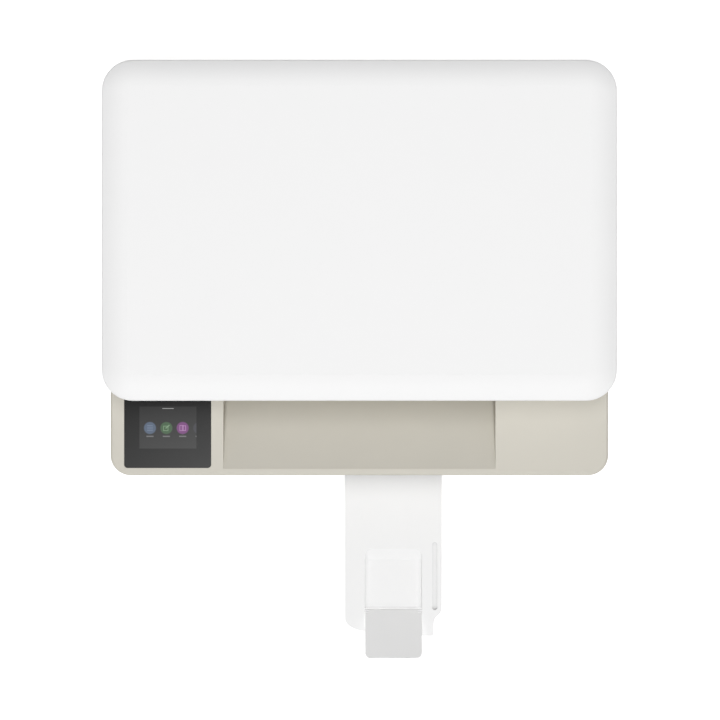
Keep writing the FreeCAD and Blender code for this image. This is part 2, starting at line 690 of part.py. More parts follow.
def make_front_cover():
    x = (-HALF, HALF)
    y = (FRONT_Y, SPLIT_Y)
    shell = slab(x, y, (COVER_Z, LEDGE_Z), [BODY_CORNER, BODY_CORNER, 0, 0])
    rim = lambda edge: at_height(LEDGE_Z)(edge) and edge.CenterOfMass.y < SPLIT_Y - FIT
    shell = fillet_edges(shell, BODY_EDGE, rim)
    inner_radius = BODY_CORNER - WALL
    inner_x = (-HALF + WALL, HALF - WALL)
    inner_y = (FRONT_Y + WALL, SPLIT_Y + CUT)
    inner_z = (COVER_Z - CUT, LEDGE_Z - LEDGE_THICK)
    inner = slab(inner_x, inner_y, inner_z, [inner_radius, inner_radius, 0, 0])
    shell = cut(shell, inner)
    basin = prism_x(scoop_profile(WALL), (-SCOOP_HALF - WALL, SCOOP_HALF + WALL))
    basin = basin.common(block(x, (FRONT_Y + WALL / 2, SPLIT_Y), (COVER_Z, LEDGE_Z - WALL)))
    shell = fuse(shell, basin)
    hollow = prism_x(scoop_profile(0), (-SCOOP_HALF, SCOOP_HALF))
    through = (FRONT_Y - CUT, FRONT_Y + WALL + CUT)
    slot_z = (OUTPUT_Z - OUTPUT_FLOOR - CLEAR, OUTPUT_Z + OUTPUT_HEIGHT)
    slot = block((-OUTPUT_WIDTH / 2, OUTPUT_WIDTH / 2), through, slot_z)
    ext_x = (EXT_LEFT - CUT_GAP, EXT_RIGHT + CUT_GAP)
    ext_slot = block(ext_x, through, (EXT_Z - CUT_GAP, OUTPUT_Z))
    tray_half = TRAY_HALF + CUT_GAP
    mouth = block((-tray_half, tray_half), through, (COVER_Z - CUT, TRAY_Z + TRAY_FRONT_HEIGHT + CUT_GAP))
    glass_x = (-HALF + DISPLAY_SIDE - FIT, -HALF + DISPLAY_SIDE + DISPLAY_WIDTH + FIT)
    glass_y = (FRONT_Y + DISPLAY_FRONT - FIT, FRONT_Y + DISPLAY_FRONT + DISPLAY_DEPTH + FIT)
    seat = slab(glass_x, glass_y, (LEDGE_Z - DISPLAY_GLASS, LEDGE_Z + CUT), [DISPLAY_CORNER] * 4)
    panel_x, panel_y = panel_place(CLEAR)
    window = block(panel_x, panel_y, (LEDGE_Z - LEDGE_THICK - CUT, LEDGE_Z))
    return cut(shell, hollow, slot, ext_slot, mouth, seat, window)


def panel_place(clearance):
    """Plan limits of the display panel under the glass."""
    middle = -HALF + DISPLAY_SIDE + DISPLAY_WIDTH / 2
    back = FRONT_Y + DISPLAY_FRONT + DISPLAY_DEPTH - PANEL_BACK
    x = around(middle, PANEL_WIDTH / 2 + clearance)
    return x, (back - PANEL_DEPTH - clearance, back + clearance)


def make_display_glass():
    x = (-HALF + DISPLAY_SIDE, -HALF + DISPLAY_SIDE + DISPLAY_WIDTH)
    y = (FRONT_Y + DISPLAY_FRONT, FRONT_Y + DISPLAY_FRONT + DISPLAY_DEPTH)
    return slab(x, y, (LEDGE_Z - DISPLAY_GLASS, LEDGE_Z), [DISPLAY_CORNER] * 4)


def make_display_panel():
    x, y = panel_place(0)
    top = LEDGE_Z - DISPLAY_GLASS
    return block(x, y, (top - PANEL_THICK, top))


def make_output_floor():
    z = (OUTPUT_Z - OUTPUT_FLOOR, OUTPUT_Z)
    half = OUTPUT_WIDTH / 2 - CLEAR
    back = EJECT_Y - EJECT_RADIUS - CUT
    floor = block((-half, half), (FRONT_Y, back), z)
    rails = []
    for side in (-1, 1):
        inner = EXT_X + side * (EXT_WIDTH / 2 + CLEAR)
        outer = inner + side * RAIL_WALL
        lip = inner - side * RAIL_LIP
        lip_z = EXT_Z - CLEAR - RAIL_WALL
        rail_y = (FRONT_Y + WALL + CLEAR, back)
        rails.append(block((min(inner, outer), max(inner, outer)), rail_y, (lip_z, z[1])))
        rails.append(block((min(lip, outer), max(lip, outer)), rail_y, (lip_z, lip_z + RAIL_WALL)))
    floor = fuse(floor, *rails)
    notch_half = FLAP_WIDTH / 2 + FLAP_NOTCH
    notch_y = FRONT_Y + FLAP_SETBACK + FLAP_BARREL + FLAP_NOTCH
    return cut(floor, block(around(EXT_X, notch_half), (FRONT_Y - CUT, notch_y), (z[0] - CUT, z[1] + CUT)))


def shoulder_cut(z):
    """Room beside the tab: its edge swings inwards from the right side in two equal arcs, one each way."""
    turn = 2 * math.atan2(EXT_STEP_X, EXT_STEP_RUN)
    radius = EXT_STEP_RUN / (2 * math.sin(turn))
    start = Vector(EXT_RIGHT, EXT_FRONT_Y + EXT_STEP_Y, z[0])
    end = start - Vector(EXT_STEP_X, EXT_STEP_RUN, 0)
    middle = (start + end) * 0.5
    bulge = Vector(radius * (1 - math.cos(turn / 2)), radius * math.sin(turn / 2), 0)
    outer = Part.Arc(start, start - bulge, middle).toShape()
    inner = Part.Arc(middle, end + bulge, end).toShape()
    front = EXT_FRONT_Y - EXT_TAB - CUT
    beside = EXT_RIGHT + CUT
    room = [(end.x, front), (beside, front), (beside, start.y)]
    corners = [end] + [Vector(x, y, z[0]) for x, y in room] + [start]
    sides = [Part.makeLine(here, there) for here, there in zip(corners, corners[1:])]
    return Part.Face(Part.Wire([outer, inner] + sides)).extrude(Vector(0, 0, z[1] - z[0]))


def extension_plate(z):
    """Flat plate whose front left corner is a quarter of an ellipse, wider than it is deep."""
    front = EXT_FRONT_Y - EXT_BOW
    back = FRONT_Y + EXT_INSIDE
    reach = EXT_CORNER * EXT_CORNER_SPREAD
    centre = Vector(EXT_LEFT + reach, front + EXT_CORNER, z[0])
    ellipse = Part.Ellipse(centre + Vector(reach, 0, 0), centre + Vector(0, EXT_CORNER, 0), centre)
    arc = Part.ArcOfEllipse(ellipse, math.pi, 1.5 * math.pi).toShape()
    plan = [(centre.x, front), (EXT_RIGHT, front), (EXT_RIGHT, back), (EXT_LEFT, back), (EXT_LEFT, centre.y)]
    corners = [Vector(x, y, z[0]) for x, y in plan]
    sides = [Part.makeLine(here, there) for here, there in zip(corners, corners[1:])]
    return Part.Face(Part.Wire([arc] + sides)).extrude(Vector(0, 0, z[1] - z[0]))


def make_output_extension():
    z = (EXT_Z, EXT_TOP_Z)
    tab_x = (EXT_RIGHT - EXT_STEP_X - TAB_WIDTH, EXT_RIGHT - EXT_STEP_X)
    tab_y = (EXT_FRONT_Y - EXT_TAB, EXT_FRONT_Y + EXT_STEP_Y)
    tab = slab(tab_x, tab_y, z, [TAB_CORNER / 2, TAB_CORNER, 0, 0])
    plate = fuse(cut(extension_plate(z), shoulder_cut(z)), tab)
    pocket_back = EXT_FRONT_Y + FLAP_SETBACK + POCKET_LENGTH
    pocket_z = FLAP_AXIS[1] - FLAP_THICK / 2 - CLEAR
    pocket_x = around(EXT_X, POCKET_HALF)
    outside = EXT_FRONT_Y - EXT_TAB - CUT
    flat = block(pocket_x, (outside, pocket_back - POCKET_RAMP), (pocket_z, EXT_TOP_Z + CUT))
    lift = EXT_TOP_Z - pocket_z
    start = pocket_back - POCKET_RAMP - FIT
    over = EXT_TOP_Z + lift
    ramp_points = [(start, pocket_z), (start, over), (pocket_back, over), (pocket_back, EXT_TOP_Z)]
    ramp = prism_x(ramp_points, pocket_x)
    pocket_plan = slab(pocket_x, (outside, pocket_back), (EXT_Z, over), [0, 0, POCKET_CORNER, POCKET_CORNER])
    pocket = fuse(flat, ramp).common(pocket_plan)
    window_back = FLAP_AXIS[0] + FLAP_BARREL + CLEAR * 2
    window = block(pocket_x, (outside, window_back), (EXT_Z - CUT, EXT_TOP_Z + CUT))
    pin_x = around(EXT_X, FLAP_WIDTH / 2 + FLAP_PIN_REACH + CLEAR)
    bore = rod_x(pin_x, FLAP_AXIS[0], FLAP_AXIS[1], FLAP_PIN + FIT)
    groove_x = around(EXT_RIGHT - GROOVE_FROM_EDGE, GROOVE_WIDTH / 2)
    groove_front = EXT_FRONT_Y + GROOVE_SETBACK
    groove_z = (EXT_TOP_Z - GROOVE_DEPTH, EXT_TOP_Z + CUT)
    groove_y = (groove_front, groove_front + GROOVE_LENGTH)
    groove = slab(groove_x, groove_y, groove_z, [GROOVE_WIDTH / 2 - FIT] * 4)
    return cut(plate, pocket, window, bore, groove)


def make_stop_flap():
    """Flat flap with a round hinge edge, modelled level in front of its axis, then tilted up about it."""
    y, z = FLAP_AXIS
    x = around(EXT_X, FLAP_WIDTH / 2)
    blade = slab(x, (y - FLAP_LENGTH, y), around(z, FLAP_THICK / 2), [FLAP_CORNER, FLAP_CORNER, 0, 0])
    ear_y = (y - FLAP_EAR_DEPTH, y + CUT)
    ear_z = around(z, FLAP_THICK)
    inner = FLAP_WIDTH / 2 - FLAP_EAR
    outer = FLAP_WIDTH / 2 + CUT
    ears = []
    for side in (-1, 1):
        ear_x = sorted((EXT_X + side * inner, EXT_X + side * outer))
        ears.append(block(ear_x, ear_y, ear_z))
    barrel = rod_x(around(EXT_X, inner), y, z, FLAP_BARREL)
    pins = rod_x(around(EXT_X, FLAP_WIDTH / 2 + FLAP_PIN_REACH), y, z, FLAP_PIN)
    flap = fuse(cut(blade, *ears), barrel, pins)
    flap.rotate(Vector(0, y, z), Vector(1, 0, 0), -FLAP_TILT)
    return flap


def make_paper_tray():
    front = FRONT_Y + TRAY_FRONT_THICK
    y = (front, TRAY_BACK_Y)
    x = (-TRAY_HALF, TRAY_HALF)
    shell = block(x, y, (TRAY_Z, TRAY_Z + TRAY_HEIGHT))
    inside_x = (-TRAY_HALF + TRAY_WALL, TRAY_HALF - TRAY_WALL)
    inside_y = (front + TRAY_WALL, TRAY_BACK_Y - TRAY_WALL)
    above = block(inside_x, inside_y, (DECK_TOP_Z, TRAY_Z + TRAY_HEIGHT + CUT))
    below = block(inside_x, inside_y, (TRAY_Z - CUT, DECK_Z))
    back_wall = (TRAY_BACK_Y - TRAY_WALL - CUT, TRAY_BACK_Y + CUT)
    over = TRAY_Z + TRAY_HEIGHT + CUT
    rear = block(inside_x, back_wall, (DECK_TOP_Z + TRAY_BACK_WALL, over))
    pick_half = PICK_WIDTH / 2 + SIDE_GAP + PICK_ARM_PLATE + PICK_NOTCH
    notch = block((-pick_half, pick_half), back_wall, (DECK_TOP_Z, over))
    slots = []
    for side in (-1, 1):
        neck_x, neck_y = rack_neck(side, CUT_GAP)
        moved = [place - side * GUIDE_TRAVEL for place in neck_x]
        slot_x = (min(*neck_x, *moved), max(*neck_x, *moved))
        slots.append(block(slot_x, neck_y, (DECK_Z - CUT, DECK_TOP_Z + CUT)))
    tray = cut(shell, above, below, rear, notch, handle_hollow(), *slots)
    stud = rod_z(0, GUIDE_Y, (RACK_Z, DECK_Z + FIT), PINION_STUD)
    return fuse(tray, stud)


def handle_hollow():
    """Finger opening through the tray's front panel and front wall."""
    top = TRAY_Z + TRAY_FRONT_HEIGHT
    low = top - HANDLE_DEPTH
    y = (FRONT_Y - CUT, FRONT_Y + TRAY_FRONT_THICK + TRAY_WALL + CUT)
    hollow = block(around(0, HANDLE_WIDTH / 2), y, (low, top + CUT))
    ends = lambda edge: at_height(low)(edge) and edge.Length < HANDLE_WIDTH / 2
    return fillet_edges(hollow, HANDLE_ROUND, ends)


def make_tray_front():
    z = (TRAY_Z, TRAY_Z + TRAY_FRONT_HEIGHT)
    panel = block((-TRAY_HALF, TRAY_HALF), (FRONT_Y, FRONT_Y + TRAY_FRONT_THICK), z)
    return cut(panel, handle_hollow())


def rack_neck(side, clearance):
    """Plan limits of the neck that joins a guide to its rack through the deck."""
    outer = side * (PAPER_WIDTH / 2 + GUIDE_THICK)
    inner = side * (PAPER_WIDTH / 2)
    near = GUIDE_PITCH + RACK_MODULE * DEDENDUM
    y = (GUIDE_Y - side * near, GUIDE_Y - side * (near + RACK_BAR))
    x = (min(outer, inner) - clearance, max(outer, inner) + clearance)
    return x, (min(y) - clearance, max(y) + clearance)


def make_width_guide(side):
    """Upright paper guide with a toothed bar under the deck."""
    neck_x, neck_y = rack_neck(side, 0)
    fence_z = (DECK_TOP_Z + CLEAR, DECK_TOP_Z + GUIDE_HEIGHT)
    fence = block(neck_x, around(GUIDE_Y, GUIDE_LENGTH / 2), fence_z)
    neck = block(neck_x, neck_y, (RACK_Z, DECK_TOP_Z + CLEAR * 2))
    x = (neck_x[0], RACK_END) if side < 0 else (-RACK_END, neck_x[1])
    bar = block(x, neck_y, (RACK_Z, RACK_Z + RACK_THICK))
    pitch = math.pi * RACK_MODULE
    turn = 2 * math.pi / RACK_TEETH
    line = GUIDE_Y - side * GUIDE_PITCH
    shift = GUIDE_PITCH * ((math.pi / 2) % turn) * -side
    slope = math.tan(PRESSURE)
    thick = (pitch / 2 - RACK_BACKLASH) / 2
    teeth = []
    first = int(GUIDE_TRAVEL / pitch) + 2
    for number in range(-first, 2):
        middle = (number + 0.5) * pitch * -side + shift
        root = RACK_MODULE * DEDENDUM + FIT
        tip = RACK_MODULE
        points = [
            (middle - thick - root * slope, line - side * root),
            (middle - thick + tip * slope, line + side * tip),
            (middle + thick - tip * slope, line + side * tip),
            (middle + thick + root * slope, line - side * root),
        ]
        teeth.append(prism_z(points, (RACK_Z, RACK_Z + RACK_THICK)))
    return fuse(fence, neck, bar, *teeth)


def make_guide_pinion():
    outline = gear_outline(RACK_TEETH, RACK_MODULE, RACK_BACKLASH, 0)
    wheel = prism_z([(x, GUIDE_Y + y) for x, y in outline], (RACK_Z, RACK_Z + RACK_THICK))
    return cut(wheel, rod_z(0, GUIDE_Y, (RACK_Z - CUT, DECK_Z), PINION_STUD + FIT))


def frame_bores(x):
    """Holes for the rod and both rollers through a frame plate."""
    span = (x[0] - CUT, x[1] + CUT)
    return [
        rod_x(span, ROD_Y, ROD_Z, ROD_RADIUS + FIT),
        rod_x(span, FEED_Y, FEED_Z, FEED_SHAFT + FIT),
        rod_x(span, EJECT_Y, EJECT_Z, EJECT_SHAFT + FIT),
    ]


def frame_plate(x, foot_x):
    y = (FEED_Y - FRAME_FRONT, FEED_Y + FRAME_BACK)
    plate = block(x, y, (FLOOR_Z, FRAME_TOP))
    foot = block(foot_x, y, (FLOOR_Z, FLOOR_Z + FRAME_FOOT_THICK))
    return fuse(plate, foot)


def screw_bores():
    z = (FLOOR_Z - CUT, FLOOR_Z + FRAME_FOOT_THICK + CUT)
    return [rod_z(x, y, z, SCREW_SHANK + FIT) for x, y in screw_places()]


def make_left_frame():
    x = (FRAME_LEFT - FRAME_THICK, FRAME_LEFT)
    plate = frame_plate(x, (FRAME_LEFT - FRAME_FOOT, FRAME_LEFT))
    stud = rod_x((GEAR_X - CUT, FRAME_LEFT), IDLER_Y, IDLER_Z, IDLER_STUD)
    shaft = rod_x((x[0] - CUT, x[1] + CUT), PINION_Y, PINION_Z, MOTOR_SHAFT + CLEAR)
    return cut(fuse(plate, stud), shaft, *frame_bores(x), *screw_bores())


def make_right_frame():
    x = (FRAME_RIGHT, FRAME_RIGHT + FRAME_THICK)
    plate = frame_plate(x, (FRAME_RIGHT - FRAME_FOOT, x[1]))
    posts = []
    board_y, board_z = board_place()
    for y in (board_y[0] + BOARD_RISE, FEED_Y + FRAME_BACK - BOARD_RISE):
        for z in (board_z[0] + BOARD_RISE, board_z[1] - BOARD_RISE):
            posts.append(rod_x((FRAME_RIGHT, BOARD_X), y, z, BOARD_STANDOFF))
    return cut(fuse(plate, *posts), *frame_bores(x), *screw_bores())


def board_place():
    back = COVER_INNER_BACK - BOARD_RISE
    z = FLOOR_Z + BOARD_RISE
    return (back - BOARD_LENGTH, back), (z, z + BOARD_HEIGHT)


def make_main_board():
    y, z = board_place()
    board = block((BOARD_X, BOARD_X + BOARD_THICK), y, z)
    face = BOARD_X + BOARD_THICK
    chips = []
    chip_z = (z[0] + CHIP_SIZE, z[0] + 2 * CHIP_SIZE)
    for step in range(CHIPS):
        start = y[0] + CHIP_START + step * CHIP_PITCH
        chips.append(block((face, face + CHIP_THICK), (start, start + CHIP_SIZE), chip_z))
    return fuse(board, *chips)


def make_usb_port():
    x = (BOARD_X - USB_WIDTH, BOARD_X)
    y = (BACK_Y + USB_PROUD - USB_DEPTH, BACK_Y + USB_PROUD)
    z = (FLOOR_Z + USB_RISE, FLOOR_Z + USB_RISE + USB_HEIGHT)
    shell = block(x, y, z)
    inside_x = (x[0] + USB_WALL, x[1] - USB_WALL)
    inside_z = (z[0] + USB_WALL, z[1] - USB_WALL)
    inside = block(inside_x, (y[0] + USB_WALL, y[1] + CUT), inside_z)
    tongue_y = (y[0], y[1] - USB_TONGUE)
    tongue = block(around(sum(x) / 2, USB_TONGUE), tongue_y, around(sum(z) / 2, USB_WALL * 2))
    return fuse(cut(shell, inside), tongue)


def make_power_supply():
    back = BACK_Y - INLET_DEPTH - CLEAR
    y = (back - SUPPLY_DEPTH, back)
    z = (PLATEN_TOP_Z, PLATEN_TOP_Z + SUPPLY_HEIGHT)
    return slab(around(SUPPLY_X, SUPPLY_WIDTH / 2), y, z, [SUPPLY_CORNER] * 4)


def make_power_inlet():
    x = around(SUPPLY_X, INLET_WIDTH / 2)
    y = (BACK_Y - INLET_DEPTH, BACK_Y)
    z = (INLET_Z, INLET_Z + INLET_HEIGHT)
    middle = sum(z) / 2
    body = block(x, y, z)
    socket_y = (BACK_Y - INLET_SOCKET, BACK_Y + CUT)
    lobes = [rod_y(SUPPLY_X + side * INLET_PITCH / 2, socket_y, middle, INLET_RADIUS) for side in (-1, 1)]
    pin_y = (BACK_Y - INLET_SOCKET - FIT, BACK_Y - CUT * 2)
    pins = [rod_y(SUPPLY_X + side * INLET_PITCH / 2, pin_y, middle, INLET_PIN) for side in (-1, 1)]
    return fuse(cut(body, *lobes), *pins)


def make_power_button():
    z = FLOOR_Z + BUTTON_RISE
    flange_y = (BACK_Y - WALL - CLEAR - BUTTON_FLANGE, BACK_Y - WALL - CLEAR)
    cap = rod_y(BUTTON_X, (flange_y[0], BACK_Y + BUTTON_PROUD), z, BUTTON_RADIUS)
    return fuse(cap, rod_y(BUTTON_X, flange_y, z, BUTTON_RADIUS + BUTTON_FLANGE))


def make_platen():
    x = (FRAME_LEFT, FRAME_RIGHT)
    y = (EJECT_Y + EJECT_RADIUS + CUT, TRAY_BACK_Y)
    z = (PLATEN_Z, PLATEN_TOP_Z)
    plate = block(x, y, z)
    ribs = []
    rib_y = (NOZZLE_Y - CUT, FEED_Y - FEED_RADIUS - CUT * 2)
    for number in range(PLATEN_RIBS):
        middle = (number - (PLATEN_RIBS - 1) / 2) * PLATEN_RIB_PITCH
        ribs.append(block(around(middle, PLATEN_RIB_WIDTH / 2), rib_y, (z[0], PAPER_Z - FIT)))
    lugs = []
    inner = PICK_WIDTH / 2 + SIDE_GAP * 2 + PICK_ARM_PLATE
    for side in (-1, 1):
        near = side * inner
        far = near + side * PICK_LUG
        lug_z = (PIVOT_Z - PICK_ARM_HALF, z[1])
        lugs.append(block((min(near, far), max(near, far)), around(PIVOT_Y, PICK_ARM_HALF), lug_z))
    plate = fuse(plate, *ribs, *lugs)
    reach = inner + PICK_LUG + CUT
    bore = rod_x((-reach, reach), PIVOT_Y, PIVOT_Z, PICK_PIN + FIT)
    feed_half = PAPER_WIDTH / 2 + CUT * 2
    feed_slot = block((-feed_half, feed_half), around(FEED_Y, FEED_RADIUS + CUT), (z[0] - CUT, PAPER_Z + CUT))
    shaft_x = (FRAME_LEFT - CUT, FRAME_RIGHT + CUT)
    shaft_z = (z[0] - CUT, FEED_Z + FEED_SHAFT + CUT)
    shaft_slot = block(shaft_x, around(FEED_Y, FEED_SHAFT + CUT), shaft_z)
    window = block((STATION_LEFT - CUT, STATION_RIGHT + CUT), station_depth(CUT), (z[0] - CUT, PAPER_Z + CUT))
    return cut(plate, bore, feed_slot, shaft_slot, window)


def station_depth(extra):
    """Depth of the service station below the nozzles."""
    return (NOZZLE_Y - STATION_MARGIN - extra, NOZZLE_Y + NOZZLE_DEPTH + STATION_MARGIN + extra)


def make_feed_roller():
    shaft = rod_x((GEAR_X - CUT, FRAME_RIGHT + FRAME_THICK), FEED_Y, FEED_Z, FEED_SHAFT)
    half = PAPER_WIDTH / 2
    return fuse(shaft, rod_x((-half, half), FEED_Y, FEED_Z, FEED_RADIUS))


def make_eject_roller():
    shaft = rod_x((GEAR_X - CUT, FRAME_RIGHT + FRAME_THICK), EJECT_Y, EJECT_Z, EJECT_SHAFT)
    tyres = []
    for number in range(EJECT_ROLLERS):
        middle = (number - (EJECT_ROLLERS - 1) / 2) * EJECT_PITCH
        tyres.append(rod_x(around(middle, EJECT_ROLLER_LENGTH / 2), EJECT_Y, EJECT_Z, EJECT_RADIUS))
    return fuse(shaft, *tyres)


FEED_PHASE = 0.0
IDLER_PHASE = meshing_phase(TRAIN_ANGLE, FEED_TEETH, FEED_PHASE, IDLER_TEETH)
EJECT_PHASE = meshing_phase(TRAIN_ANGLE, IDLER_TEETH, IDLER_PHASE, EJECT_TEETH)
PINION_PHASE = meshing_phase(math.radians(MOTOR_ANGLE), FEED_TEETH, FEED_PHASE, PINION_TEETH)


def make_feed_gear():
    return gear_x(FEED_TEETH, (FEED_Y, FEED_Z), FEED_PHASE, FEED_SHAFT + HINGE_PIN_FIT)


def make_idler_gear():
    return gear_x(IDLER_TEETH, (IDLER_Y, IDLER_Z), IDLER_PHASE, IDLER_STUD + FIT)


def make_eject_gear():
    return gear_x(EJECT_TEETH, (EJECT_Y, EJECT_Z), EJECT_PHASE, EJECT_SHAFT + HINGE_PIN_FIT)


def make_motor_pinion():
    return gear_x(PINION_TEETH, (PINION_Y, PINION_Z), PINION_PHASE, MOTOR_SHAFT + FIT)


def make_feed_motor():
    can = rod_x((FRAME_LEFT, FRAME_LEFT + FEED_MOTOR_LENGTH), PINION_Y, PINION_Z, FEED_MOTOR_RADIUS)
    return fuse(can, rod_x((GEAR_X - CUT, FRAME_LEFT), PINION_Y, PINION_Z, MOTOR_SHAFT))


def roller_places(count, pitch):
    return [(number - (count - 1) / 2) * pitch for number in range(count)]


def lug_bar(y, z, axle, half_length, middles, reach):
    """Cross bar with pairs of lugs that hold the axles of the rollers below it."""
    bar_z = (z + reach + CLEAR, z + reach + CLEAR + BAR_HEIGHT)
    bar = block((FRAME_LEFT, FRAME_RIGHT), around(y, BAR_WIDTH / 2), bar_z)
    lugs = []
    bores = []
    for middle in middles:
        for side in (-1, 1):
            near = middle + side * (half_length + SIDE_GAP)
            far = near + side * BAR_LUG
            lug_x = (min(near, far), max(near, far))
            lugs.append(block(lug_x, around(y, reach / 2), (z - axle * 2, bar_z[1])))
        span = half_length + SIDE_GAP + BAR_LUG + CUT
        bores.append(rod_x(around(middle, span), y, z, axle + FIT))
    return cut(fuse(bar, *lugs), *bores)


def make_pinch_bar():
    places = roller_places(PINCH_ROLLERS, PINCH_PITCH)
    return lug_bar(FEED_Y, PINCH_Z, PINCH_AXLE, PINCH_LENGTH / 2, places, PINCH_RADIUS)


def make_pinch_rollers():
    rollers = []
    for middle in roller_places(PINCH_ROLLERS, PINCH_PITCH):
        body = rod_x(around(middle, PINCH_LENGTH / 2), FEED_Y, PINCH_Z, PINCH_RADIUS)
        axle = rod_x(around(middle, PINCH_LENGTH / 2 + SIDE_GAP + BAR_LUG), FEED_Y, PINCH_Z, PINCH_AXLE)
        rollers.append(fuse(body, axle))
    return group(rollers)


def make_star_bar():
    places = roller_places(EJECT_ROLLERS, EJECT_PITCH)
    return lug_bar(EJECT_Y, STAR_Z, STAR_AXLE, STAR_THICK / 2, places, STAR_RADIUS)


def make_star_wheels():
    wheels = []
    for middle in roller_places(EJECT_ROLLERS, EJECT_PITCH):
        points = []
        for number in range(2 * STAR_POINTS):
            radius = STAR_RADIUS if number % 2 == 0 else STAR_RADIUS - STAR_DEPTH
            turn = math.pi * number / STAR_POINTS
            points.append((EJECT_Y + radius * math.cos(turn), STAR_Z + radius * math.sin(turn)))
        disc = prism_x(points, around(middle, STAR_THICK / 2))
        axle = rod_x(around(middle, STAR_THICK / 2 + SIDE_GAP + BAR_LUG), EJECT_Y, STAR_Z, STAR_AXLE)
        wheels.append(fuse(disc, axle))
    return group(wheels)


def make_chassis_beam():
    y = (BEAM_Y, BEAM_Y + BEAM_THICK)
    beam = block((FRAME_LEFT, FRAME_RIGHT), y, (BEAM_Z, FRAME_TOP))
    stud = rod_y(PULLEY_LEFT, (BELT_Y - BELT_WIDTH / 2 - PULLEY_FLANGE, BEAM_Y), BELT_Z, MOTOR_SHAFT)
    hole = rod_y(PULLEY_RIGHT, (y[0] - CUT, y[1] + CUT), BELT_Z, MOTOR_SHAFT + CLEAR)
    return cut(fuse(beam, stud), hole)


def make_carriage_rod():
    return rod_x((FRAME_LEFT - FRAME_THICK, FRAME_RIGHT + FRAME_THICK), ROD_Y, ROD_Z, ROD_RADIUS)


def make_carriage_motor():
    y0 = BEAM_Y + BEAM_THICK
    can = rod_y(PULLEY_RIGHT, (y0, y0 + CARRIAGE_MOTOR_LENGTH), BELT_Z, CARRIAGE_MOTOR_RADIUS)
    return fuse(can, rod_y(PULLEY_RIGHT, (BELT_Y - BELT_WIDTH / 2 - PULLEY_FLANGE, y0), BELT_Z, MOTOR_SHAFT))


def make_pulley(x):
    y = around(BELT_Y, BELT_WIDTH / 2 + CLEAR)
    wheel = rod_y(x, y, BELT_Z, PULLEY_RADIUS)
    flange = rod_y(x, (y[1], y[1] + PULLEY_FLANGE), BELT_Z, PULLEY_RADIUS + BELT_THICK + PULLEY_FLANGE)
    bore = rod_y(x, (y[0] - CUT, y[1] + PULLEY_FLANGE + CUT), BELT_Z, MOTOR_SHAFT + FIT)
    return cut(fuse(wheel, flange), bore)


def belt_loop(radius, y):
    ends = [rod_y(x, y, BELT_Z, radius) for x in (PULLEY_LEFT, PULLEY_RIGHT)]
    return fuse(block((PULLEY_LEFT, PULLEY_RIGHT), y, around(BELT_Z, radius)), *ends)


def make_drive_belt():
    inner = PULLEY_RADIUS + BELT_GAP
    y = around(BELT_Y, BELT_WIDTH / 2)
    return cut(belt_loop(inner + BELT_THICK, y), belt_loop(inner, (y[0] - CUT, y[1] + CUT)))


def cartridge_places():
    """X centres of the two cartridges and their half width."""
    room = (CARRIAGE_WIDTH - 3 * CARRIAGE_WALL) / 2
    shift = (room + CARRIAGE_WALL) / 2
    return (CARRIAGE_PARK - shift, CARRIAGE_PARK + shift), room / 2 - CARTRIDGE_GAP


def make_print_carriage():
    x = around(CARRIAGE_PARK, CARRIAGE_WIDTH / 2)
    cradle = block(x, (CARRIAGE_FRONT_Y, CRADLE_BACK_Y), (CARRIAGE_Z, CARRIAGE_TOP_Z))
    bearing = block(x, (CRADLE_BACK_Y, CARRIAGE_BACK_Y), (ROD_Z - ROD_RADIUS * 2, CARRIAGE_TOP_Z))
    clamp_y = (CARRIAGE_BACK_Y, BELT_Y + BELT_WIDTH / 2 + CLAMP_GAP + CLAMP_WALL)
    clamp_z = (BELT_RUN_Z - CLAMP_GAP - CLAMP_WALL, BELT_RUN_Z + BELT_THICK + CLAMP_GAP + CLAMP_WALL)
    clamp = block(around(CARRIAGE_PARK - CLAMP_WIDTH, CLAMP_WIDTH / 2), clamp_y, clamp_z)
    body = fuse(cradle, bearing, clamp)
    slot_y = around(BELT_Y, BELT_WIDTH / 2 + CLAMP_GAP)
    slot = block(x, slot_y, (BELT_RUN_Z - CLAMP_GAP, BELT_RUN_Z + BELT_THICK + CLAMP_GAP))
    bore = rod_x((x[0] - CUT, x[1] + CUT), ROD_Y, ROD_Z, ROD_RADIUS + BEARING_GAP)
    centres, half = cartridge_places()
    room_y = (CARRIAGE_FRONT_Y + CARRIAGE_WALL, CRADLE_BACK_Y - CARRIAGE_WALL)
    room_z = (CARRIAGE_Z + CARRIAGE_FLOOR, CARRIAGE_TOP_Z + CUT)
    nose_y = (NOZZLE_Y - CARTRIDGE_GAP, NOZZLE_Y + NOZZLE_DEPTH + CARTRIDGE_GAP)
    nose_z = (CARRIAGE_Z - CUT, room_z[0] + CUT)
    rooms = []
    for centre in centres:
        rooms.append(block(around(centre, half + CARTRIDGE_GAP), room_y, room_z))
        rooms.append(block(around(centre, half), nose_y, nose_z))
    return cut(body, slot, bore, *rooms)


def make_cartridge(index):
    centres, half = cartridge_places()
    front = CARRIAGE_FRONT_Y + CARRIAGE_WALL + CARTRIDGE_GAP
    z = (CARRIAGE_Z + CARRIAGE_FLOOR, CARRIAGE_TOP_Z + CARTRIDGE_PROUD)
    radii = [CARTRIDGE_CORNER] * 4
    body = slab(around(centres[index], half), (front, front + CARTRIDGE_DEPTH), z, radii)
    nose_y = (NOZZLE_Y, NOZZLE_Y + NOZZLE_DEPTH)
    return fuse(body, block(around(centres[index], half - CARTRIDGE_GAP), nose_y, (NOZZLE_Z, z[0] + CUT)))


